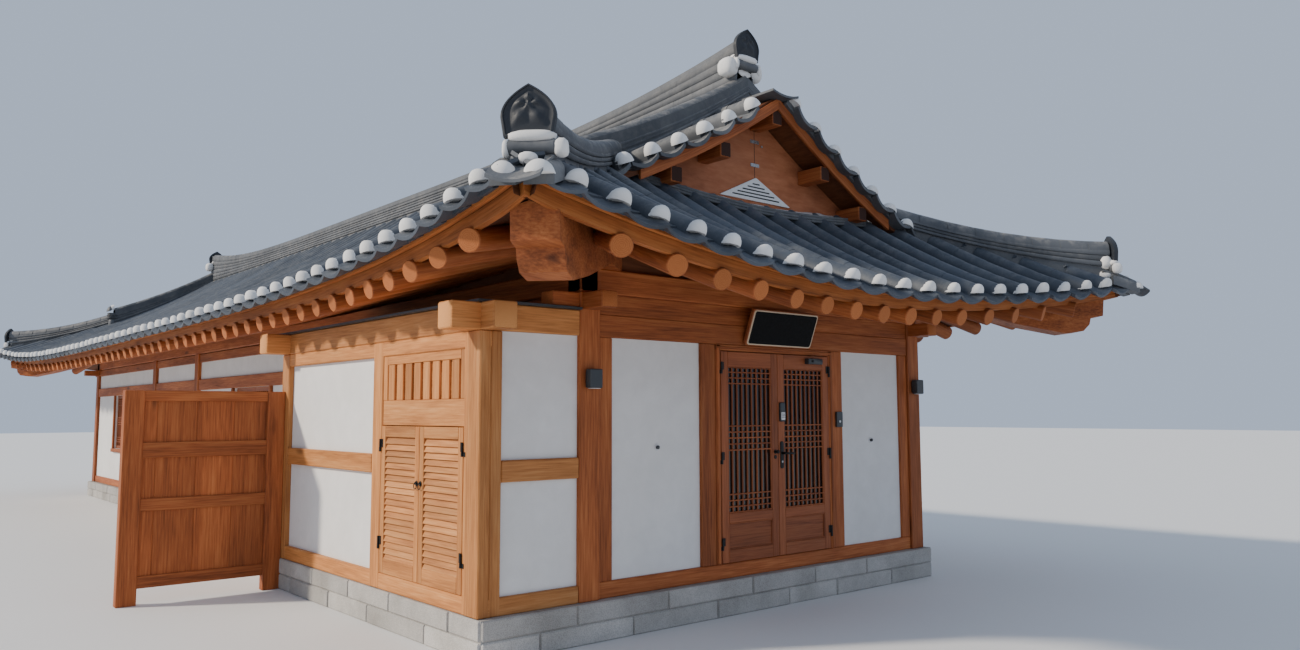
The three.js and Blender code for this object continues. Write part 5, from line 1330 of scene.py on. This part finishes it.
def name_board():
    """Leaning board: black face, brown back and edges, and a thin pale frame with rounded corners. Its own
    axes run along the wall, up its lean and out from its face."""
    foot = np.array([0, FRONT - 0.0853, 2.36])
    height = np.linalg.norm(BOARD_RISE)
    up, out = BOARD_RISE / height, np.array([0, -BOARD_RISE[2], BOARD_RISE[1]]) / height

    def plate(name, finishes, half, inset, radius, deep0, deep1, **options):
        flat = rounded_outline(half, inset, height - inset, radius)
        centre = flat.mean(0)
        rings = []
        for deep, size in ((deep0, 1.0), (deep1 - 0.003, 1.0), (deep1, 0.994)):
            x, rise = np.split(centre + (flat - centre) * size, 2, axis=1)
            rings.append(foot + x * np.array([1.0, 0, 0]) + rise * up + deep * out)
        form = Form()
        tubes(form, np.array(rings)[None], 0.4)
        build(form, name, finishes, slot="black_lacquer", **options)

    plate("name_board_back", door_timber, 0.452, 0.004, 0.02, 0.0, 0.03, stands_for=["name_board"])
    plate("name_board_rim", [cream_paint], 0.44, 0.012, 0.03, 0.028, 0.037)
    plate("name_board_panel", [board_lacquer], 0.428, 0.024, 0.022, 0.036, 0.0385)


# Annex, screen and base


def annex():
    """Posts, plates, sills and rails round the annex, its hinges, and the barred transom over its doors."""
    x, near, far, top = ANNEX_X, ANNEX_NEAR, ANNEX_FAR, ANNEX_TOP
    inner, wall, jamb = x + 0.19, -HALF_W - COLUMN - 0.001, x + 0.12
    face, middle = LOUVER_FACE, LOUVER_FAR + 0.18
    boxes = [[x, x + 0.092, near, near + 0.19, BASE_TOP, top],
             [x + 0.096, inner, near + 0.004, near + 0.19, BASE_TOP, top],
             [x + 0.08, x + 0.11, near + 0.012, near + 0.18, BASE_TOP, top],
             [x, inner, far - 0.19, far, BASE_TOP, top],
             [face, jamb, near + 0.18, LOUVER_NEAR, BASE_TOP, top],
             [face, jamb, LOUVER_FAR, middle, BASE_TOP, top],
             [face + 0.001, jamb, near + 0.01, far - 0.01, TRANSOM_TOP, top],
             [face + 0.002, jamb, near + 0.01, far - 0.01, BASE_TOP, SILL_TOP],
             [x + 0.01, wall, near + 0.005, near + 0.12, BASE_TOP, SILL_TOP],
             [x + 0.01, wall, far - 0.12, far - 0.005, BASE_TOP, SILL_TOP],
             [x, x + 0.2, near - 0.18, far, top, ANNEX_PLATE],
             [x - 0.24, wall, near, near + 0.2, top + 0.001, ANNEX_PLATE - 0.001],
             [x - 0.24, wall, far - 0.2, far - 0.001, top + 0.001, ANNEX_PLATE - 0.001],
             [face, x + 0.0497, middle, far - 0.19, *ANNEX_RAIL],
             [inner, wall, near + 0.005, near + 0.0397, *ANNEX_RAIL]]
    timbers("annex_timbers", boxes, 0.008, pale_timber, stands_for=["annex_frame"])
    iron = Form()
    for y, toward in ((LOUVER_FAR - 0.003, 1), (LOUVER_NEAR + 0.003, -1)):
        hinge_parts(iron, LOUVER_AXIS, y, LOUVER_HINGES, FIXED_BARREL, toward, False)
    build(iron, "annex_hinge_plates", [black_iron])
    out, t0, t1, wide = face + 0.012, LOUVER_NEAR + 0.001, LOUVER_FAR - 0.001, LOUVER_STILE
    low, top = TRANSOM_LOW, TRANSOM_TOP - 0.001
    slats = t0 + wide + (t1 - t0 - 2 * wide) * (np.arange(8) + 0.62) / 8
    boxes = [[out, out + 0.042, t0, t0 + wide, low, top], [out, out + 0.042, t1 - wide, t1, low, top],
             [out, out + 0.042, t0 + wide, t1 - wide, top - wide, top],
             [out + 0.002, out + 0.04, t0, t1, LOUVER_HEAD, low],
             [out + 0.028, out + 0.042, t0 + 0.06, t1 - 0.06, low - 0.005, top - 0.06]]
    boxes += [[out + 0.008, out + 0.027, y - 0.052, y + 0.052, low, top - wide] for y in slats]
    timbers("annex_transom_timbers", boxes, 0.003, pale_timber, stands_for=["annex_transom"])


def hooped(form, rings):
    """A ring-shaped solid: quads round a closed row of rings (r, k, 3)."""
    r, k, _ = rings.shape
    i, j = np.meshgrid(np.arange(r), np.arange(k), indexing="ij")
    a, b = i * k + j, i * k + (j + 1) % k
    quads = np.stack([a, b, (b + k) % (r * k), (a + k) % (r * k)], -1).reshape(-1, 4)
    points = rings.reshape(1, -1, 3)
    p, q, s, t = np.moveaxis((points[0] - points[0].mean(0))[quads], 1, 0)
    if (p * np.cross(q, s)).sum() + (p * np.cross(s, t)).sum() < 0:
        quads = quads[:, ::-1]
    form.add(points, [(quads, np.zeros((1, len(quads), 4, 2)), 0)], np.array([0.5]))


def ring_pull(form, face, y, z):
    """Ring that hangs from a knob on a round plate, on a face towards -X."""
    logs(form, [face - 0.0002, y, z], [face - 0.006, y, z], 0.021, 18, 0.002)
    lump(form, np.array([face - 0.012, y, z]), [0.01, 0.01, 0.01], knobbly=0)
    turn = np.arange(24) / 24 * 2 * np.pi
    outward = np.stack([np.zeros(24), np.sin(turn), np.cos(turn)], 1)
    hoop = np.array([face - 0.015, y, z - 0.022]) + 0.022 * outward
    small = np.arange(8)[:, None] / 8 * 2 * np.pi
    round_wire = np.cos(small) * outward[:, None] + np.sin(small) * np.array([1.0, 0, 0])
    hooped(form, hoop[:, None] + 0.0035 * round_wire)


def louver_leaf(name, start, hand):
    """Stiles, rails and slats that slope down and out; y runs from the hinge stile to the meeting stile."""
    width, wide = (LOUVER_FAR - LOUVER_NEAR - 0.017) / 2, hand * LOUVER_STILE
    face, back = LOUVER_FACE, LOUVER_FACE + 0.042
    near, far = start + hand * 0.006, start + hand * (0.006 + width)
    low, high = SILL_TOP + 0.006, LOUVER_HEAD - 0.006
    slats_low, slats_high = low + 0.12, high - 0.09
    a, b = sorted((near + wide, far - wide))
    boxes = [[face, back, near, near + wide, low, high], [face, back, far - wide, far, low, high],
             [face, back, a, b, low, slats_low], [face, back, a, b, slats_high, high],
             [face + 0.03, face + 0.036, a - 0.01, b + 0.01, slats_low - 0.01, slats_high + 0.01]]
    form, iron, ring = Form(), Form(), Form()
    bars(form, boxes, 0.003)
    count = int((slats_high - slats_low) / 0.049)
    pitch = (slats_high - slats_low) / count
    z = slats_low + (np.arange(count) + 0.5) * pitch
    section = np.array([[0.002, -0.625 * pitch], [0.009, -0.675 * pitch],
                        [0.031, 0.375 * pitch], [0.025, 0.475 * pitch]])
    corners = np.stack(np.broadcast_arrays(face + section[:, 0], 0.0, z[:, None] + section[:, 1]), -1)
    tubes(form, np.stack([corners + [0, y, 0] for y in (a - 0.004, b + 0.004)], 1))
    hinge_parts(iron, LOUVER_AXIS, start + hand * 0.003, LOUVER_HINGES, LEAF_BARREL, hand, False)
    ring_pull(ring, face, far - hand * 0.03, 1.2)
    body = f"louver_leaf_{name}"
    build(form, f"louver_leaf_wood_{name}", pale_timber, body, [f"louver_door_{name}"])
    build(iron, f"louver_leaf_hinges_{name}", [black_iron], body)
    build(ring, f"louver_leaf_pull_{name}", [black_iron], body)


def screen():
    """Free-standing screen of wide boards between two posts and four rails."""
    y0, y1 = ANNEX_FAR - 0.11, ANNEX_FAR - 0.01
    x0, x1 = SCREEN_X, ANNEX_X - 0.001
    boxes = [[x0, x0 + 0.17, y0, y1, 0, SCREEN_TOP], [x1 - 0.17, x1, y0, y1, 0, SCREEN_TOP]]
    boxes += [[x0 + 0.01, x1 - 0.01, y0 + 0.015, y1 - 0.015, z0, z1]
              for z0, z1 in ((0.15, 0.26), (0.85, 0.965), (1.34, 1.485), (1.87, SCREEN_TOP))]
    edges = blend(x0 + 0.165, x1 - 0.165, np.array([0, 0.11, 0.42, 0.72, 1.0]))
    boxes += [[a, b, y0 + 0.04, y1 - 0.04, 0.16, SCREEN_TOP - 0.01] for a, b in zip(edges[:-1], edges[1:])]
    timbers("side_screen_timbers", boxes, 0.005, frame_timber, stands_for=["side_screen"])


def base():
    """Stone courses round the base, laid on the mortar of the core, and boards on the floor."""
    stones = Form()
    side, end, back, left = HALF_W + 0.15, HALF_L + 0.15, ANNEX_FAR + 0.05, ANNEX_X
    corners = [(left, -end), (side, -end), (side, end), (-side, end), (-side, back), (left, back)]
    for (xa, ya), (xb, yb) in zip(corners, corners[1:] + corners[:1]):
        length = np.hypot(xb - xa, yb - ya)
        ux, uy = (xb - xa) / length, (yb - ya) / length
        for z0, z1, shift in ((0.002, 0.146, 0.0), (0.154, BASE_TOP - 0.001, 0.4)):
            cuts = np.concatenate([[0], np.arange(0.55 + shift, length - 0.3, 0.86), [length]])
            cuts[1:-1] += rng.uniform(-0.12, 0.12, len(cuts) - 2)
            for a, b in zip(cuts[:-1] + 0.004, cuts[1:] - 0.004):
                out, into = 0.012 + rng.uniform(0, 0.006), 0.05
                bars(stones, [[xa + ux * a + uy * out, xa + ux * b - uy * into,
                               ya + uy * a - ux * out, ya + uy * b + ux * into, z0, z1]], 0.01)
    x_edges, y_edges = np.linspace(-2.085, 2.085, 15), np.linspace(-8.695, 8.695, 7)
    boards = [[a + 0.001, b - 0.001, c + 0.001, d - 0.001, 0.385, 0.4]
              for a, b in zip(x_edges[:-1], x_edges[1:]) for c, d in zip(y_edges[:-1], y_edges[1:])]
    build(stones, "base_stones", [granite])
    timbers("floor_planks", boards, 0.002, pale_timber, slot="floor_boards")


for side, name in ((-1, "left"), (1, "right")):
    side_frame(side, name)
    front_leaf(side, name)
front_frame()
back_frame()
purlins()
windows()
door_fittings()
name_board()
annex()
louver_leaf("left", LOUVER_FAR, -1)
louver_leaf("right", LOUVER_NEAR, 1)
screen()
base()


# Gables
def gable(end, name):
    """Two wide boards with a seam, iron straps on it, a white louvred vent, bargeboards, purlin ends."""
    face = GABLE_FACE
    boards, barge, beams, vent, slit_and_seam_shade, straps = Form(), Form(), Form(), Form(), Form(), Form()

    def sheet(form, side, x, section):
        """A board whose section (y, heights) is carried along x on one side of the middle."""
        rings = [np.stack(np.broadcast_arrays(side * x, end * y, z), 1) for y, z in section]
        tubes(form, np.stack(rings, 1)[None])

    def outward(out):
        return end * (face + out)

    for side in (-1, 1):
        x = np.linspace(0.0015, 1.6, 24)
        top = side_levels(np.full_like(x, face), x)[0] - 0.084
        sheet(boards, side, x, ((face - 0.06, 3.42), (face - 0.06, top), (face, top), (face, 3.42)))
        x = np.linspace(0.0, 1.72, 26)
        out, into = VERGE + 0.0223, VERGE - 0.0057
        top = side_levels(np.full_like(x, into), x)[0] - 0.015
        low = np.maximum(top - 0.11, front_levels(x, np.full_like(x, into))[0] + 0.012)
        top = np.maximum(top, low + 0.004)
        sheet(barge, side, x, ((into, low), (into, top), (out, top), (out, low + 0.004), (out - 0.004, low)))
    boxes, half = [], 0.065
    for x in (-1.3, -0.7, 0.0, 0.7, 1.3):
        high = side_levels(face, abs(x) + half)[0] - 0.088
        low = max(high - 0.14, front_levels(abs(x) + half, GABLE)[0] + 0.01)
        boxes.append([x - half, x + half, end * face, end * (VERGE + 0.004), low, high])
    bars(beams, boxes, 0.006)
    corners = np.array([[-VENT_HALF, VENT_FOOT], [VENT_HALF, VENT_FOOT], [0.0, VENT_APEX]])
    edges = np.stack([corners, np.roll(corners, -1, 0)], 1)
    blunt = [blend(edges[:, :1], edges[:, 1:], part) for part in (0.02, 0.98)]
    blunt = np.concatenate(blunt, 1).reshape(-1, 2)
    rings = [np.insert(blunt, 1, outward(deep), axis=1) for deep in (0.0005, 0.018)]
    tubes(vent, np.array(rings)[None], 0.5)
    # Black strips on the vent's face stand for its slits: painted shade of the openings.
    for z in np.linspace(3.822, 3.952, 5):
        reach = VENT_HALF * (VENT_APEX - z) / (VENT_APEX - VENT_FOOT) - 0.09
        bars(slit_and_seam_shade, [[-reach, reach, outward(0.016), outward(0.0195), z - 0.006, z + 0.007]], 0.0015)
    for z in (4.144, 4.377):
        bars(straps, [[-0.06, 0.062, outward(0.0003), outward(0.006), z - 0.017, z + 0.017]], 0.0015)
        for x in (-0.045, -0.02, 0.02, 0.045):
            logs(straps, [x, outward(0.003), z], [x, outward(0.009), z], 0.006, 8, 0.002)
    logs(straps, [0.1, outward(0.0003), 4.345], [0.1, outward(0.014), 4.345], 0.012, 12, 0.003)
    # A black strip along the seam between the two boards: painted shade of the gap.
    bars(slit_and_seam_shade, [[-0.004, 0.004, outward(-0.02), outward(0.001), 4.0, 4.6]], 0.001)
    build(boards, f"gable_boards_{name}", [gable_wood], stands_for=[f"gable_wall_{name}"], sharp=30)
    build(barge, f"bargeboard_timbers_{name}", frame_timber, stands_for=[f"bargeboards_{name}"], sharp=30)
    build(beams, f"gable_purlin_ends_{name}", [frame_timber[0], dark_end], sharp=30)
    build(vent, f"gable_vent_{name}", [white_enamel], slot="white_plaster")
    build(slit_and_seam_shade, f"gable_slit_and_seam_shade_{name}", [black_iron])
    build(straps, f"gable_straps_{name}", [bright_iron])


for end, name in ENDS:
    gable(end, name)


# Small fittings and the finishes of what stays as it was packed


def wall_fittings():
    """Lamps on the corner columns, a door phone beside the door, and round knobs on the plaster."""
    dark, pale, wall = Form(), Form(), FRONT - COLUMN
    for side in (-1, 1):
        x = side * HALF_W
        bars(dark, [[x - 0.05, x + 0.05, wall - 0.0005, wall - 0.018, 1.955, 2.075],
                    [x - 0.06, x + 0.06, wall - 0.016, wall - 0.085, 1.94, 2.09]], 0.006)
        bars(pale, [[x - 0.045, x + 0.045, wall - 0.03, wall - 0.075, 1.936, 1.942]], 0.001)
        x = side * 1.46
        rounded_plate(pale, x, 1.46, 0.03, 0.03, 0.028, FRONT - 0.0505, FRONT - 0.056)
        lump(dark, np.array([x, FRONT - 0.066, 1.46]), [0.016, 0.014, 0.016], knobbly=0)
    rounded_plate(dark, 0.90, 1.675, 0.045, 0.075, 0.008, FRONT - 0.0845, FRONT - 0.108)
    rounded_plate(pale, 0.90, 1.655, 0.012, 0.012, 0.011, FRONT - 0.107, FRONT - 0.111, 0.001)
    build(dark, "wall_lamps_and_door_phone", [grey_iron])
    build(pale, "lamp_glasses_and_plates", [white_enamel])


wall_fittings()
paint_nodes(wall_plaster, *(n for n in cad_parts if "_panel" in n))
paint_nodes(granite, "foundation")
paint_nodes(floor_wood, "floor")
# The roof beds are darkened as painted shade.
paint_nodes(bed_painted_shade_wood, *(f"roof_{slope.name}" for slope in SLOPES))
paint_nodes(hip_wood, *(f"hip_rafter_{name}" for _, _, name in CORNERS))
paint_nodes(grey_iron, "annex_cover")


# Plain pale floor, soft light and the camera at the photograph's place

floor_finish = Finish("studio_floor", 0.8)
floor_finish.set("Base Color", (0.78, 0.78, 0.77, 1))
floor = bpy.data.meshes.new("studio_floor")
floor.from_pydata([(-90, -90, 0), (90, -90, 0), (90, 90, 0), (-90, 90, 0)], [], [(0, 1, 2, 3)])
floor.materials.append(floor_finish.material)
stage = bpy.data.objects.new("studio_floor", floor)
bpy.context.scene.collection.objects.link(stage)

world = bpy.data.worlds.new("studio")
bpy.context.scene.world = world
world.use_nodes = True
world.node_tree.nodes["Background"].inputs["Color"].default_value = (0.62, 0.74, 0.95, 1)
world.node_tree.nodes["Background"].inputs["Strength"].default_value = 0.75

key = bpy.data.lights.new("key", "SUN")
key.energy = 4.2
key.angle = np.radians(4)
key.color = (1.0, 0.90, 0.76)
key_object = bpy.data.objects.new("key", key)
azimuth, height = np.radians((KEY_AZIMUTH, KEY_HEIGHT))
source = Vector((np.cos(azimuth) * np.cos(height), np.sin(azimuth) * np.cos(height), np.sin(height)))
key_object.rotation_euler = source.to_track_quat("Z", "Y").to_euler()
bpy.context.scene.collection.objects.link(key_object)

camera = bpy.data.cameras.new("camera")
camera.sensor_width = 36
camera.lens = 26.42
camera_object = bpy.data.objects.new("camera", camera)
turn = (Matrix.Rotation(np.radians(HEADING - 90), 4, "Z") @ Matrix.Rotation(np.radians(90 + LOOK_UP), 4, "X")
        @ Matrix.Rotation(np.radians(ROLL), 4, "Z"))
camera_object.matrix_world = Matrix.Translation(CAMERA_AT) @ turn
bpy.context.scene.collection.objects.link(camera_object)
bpy.context.scene.camera = camera_object
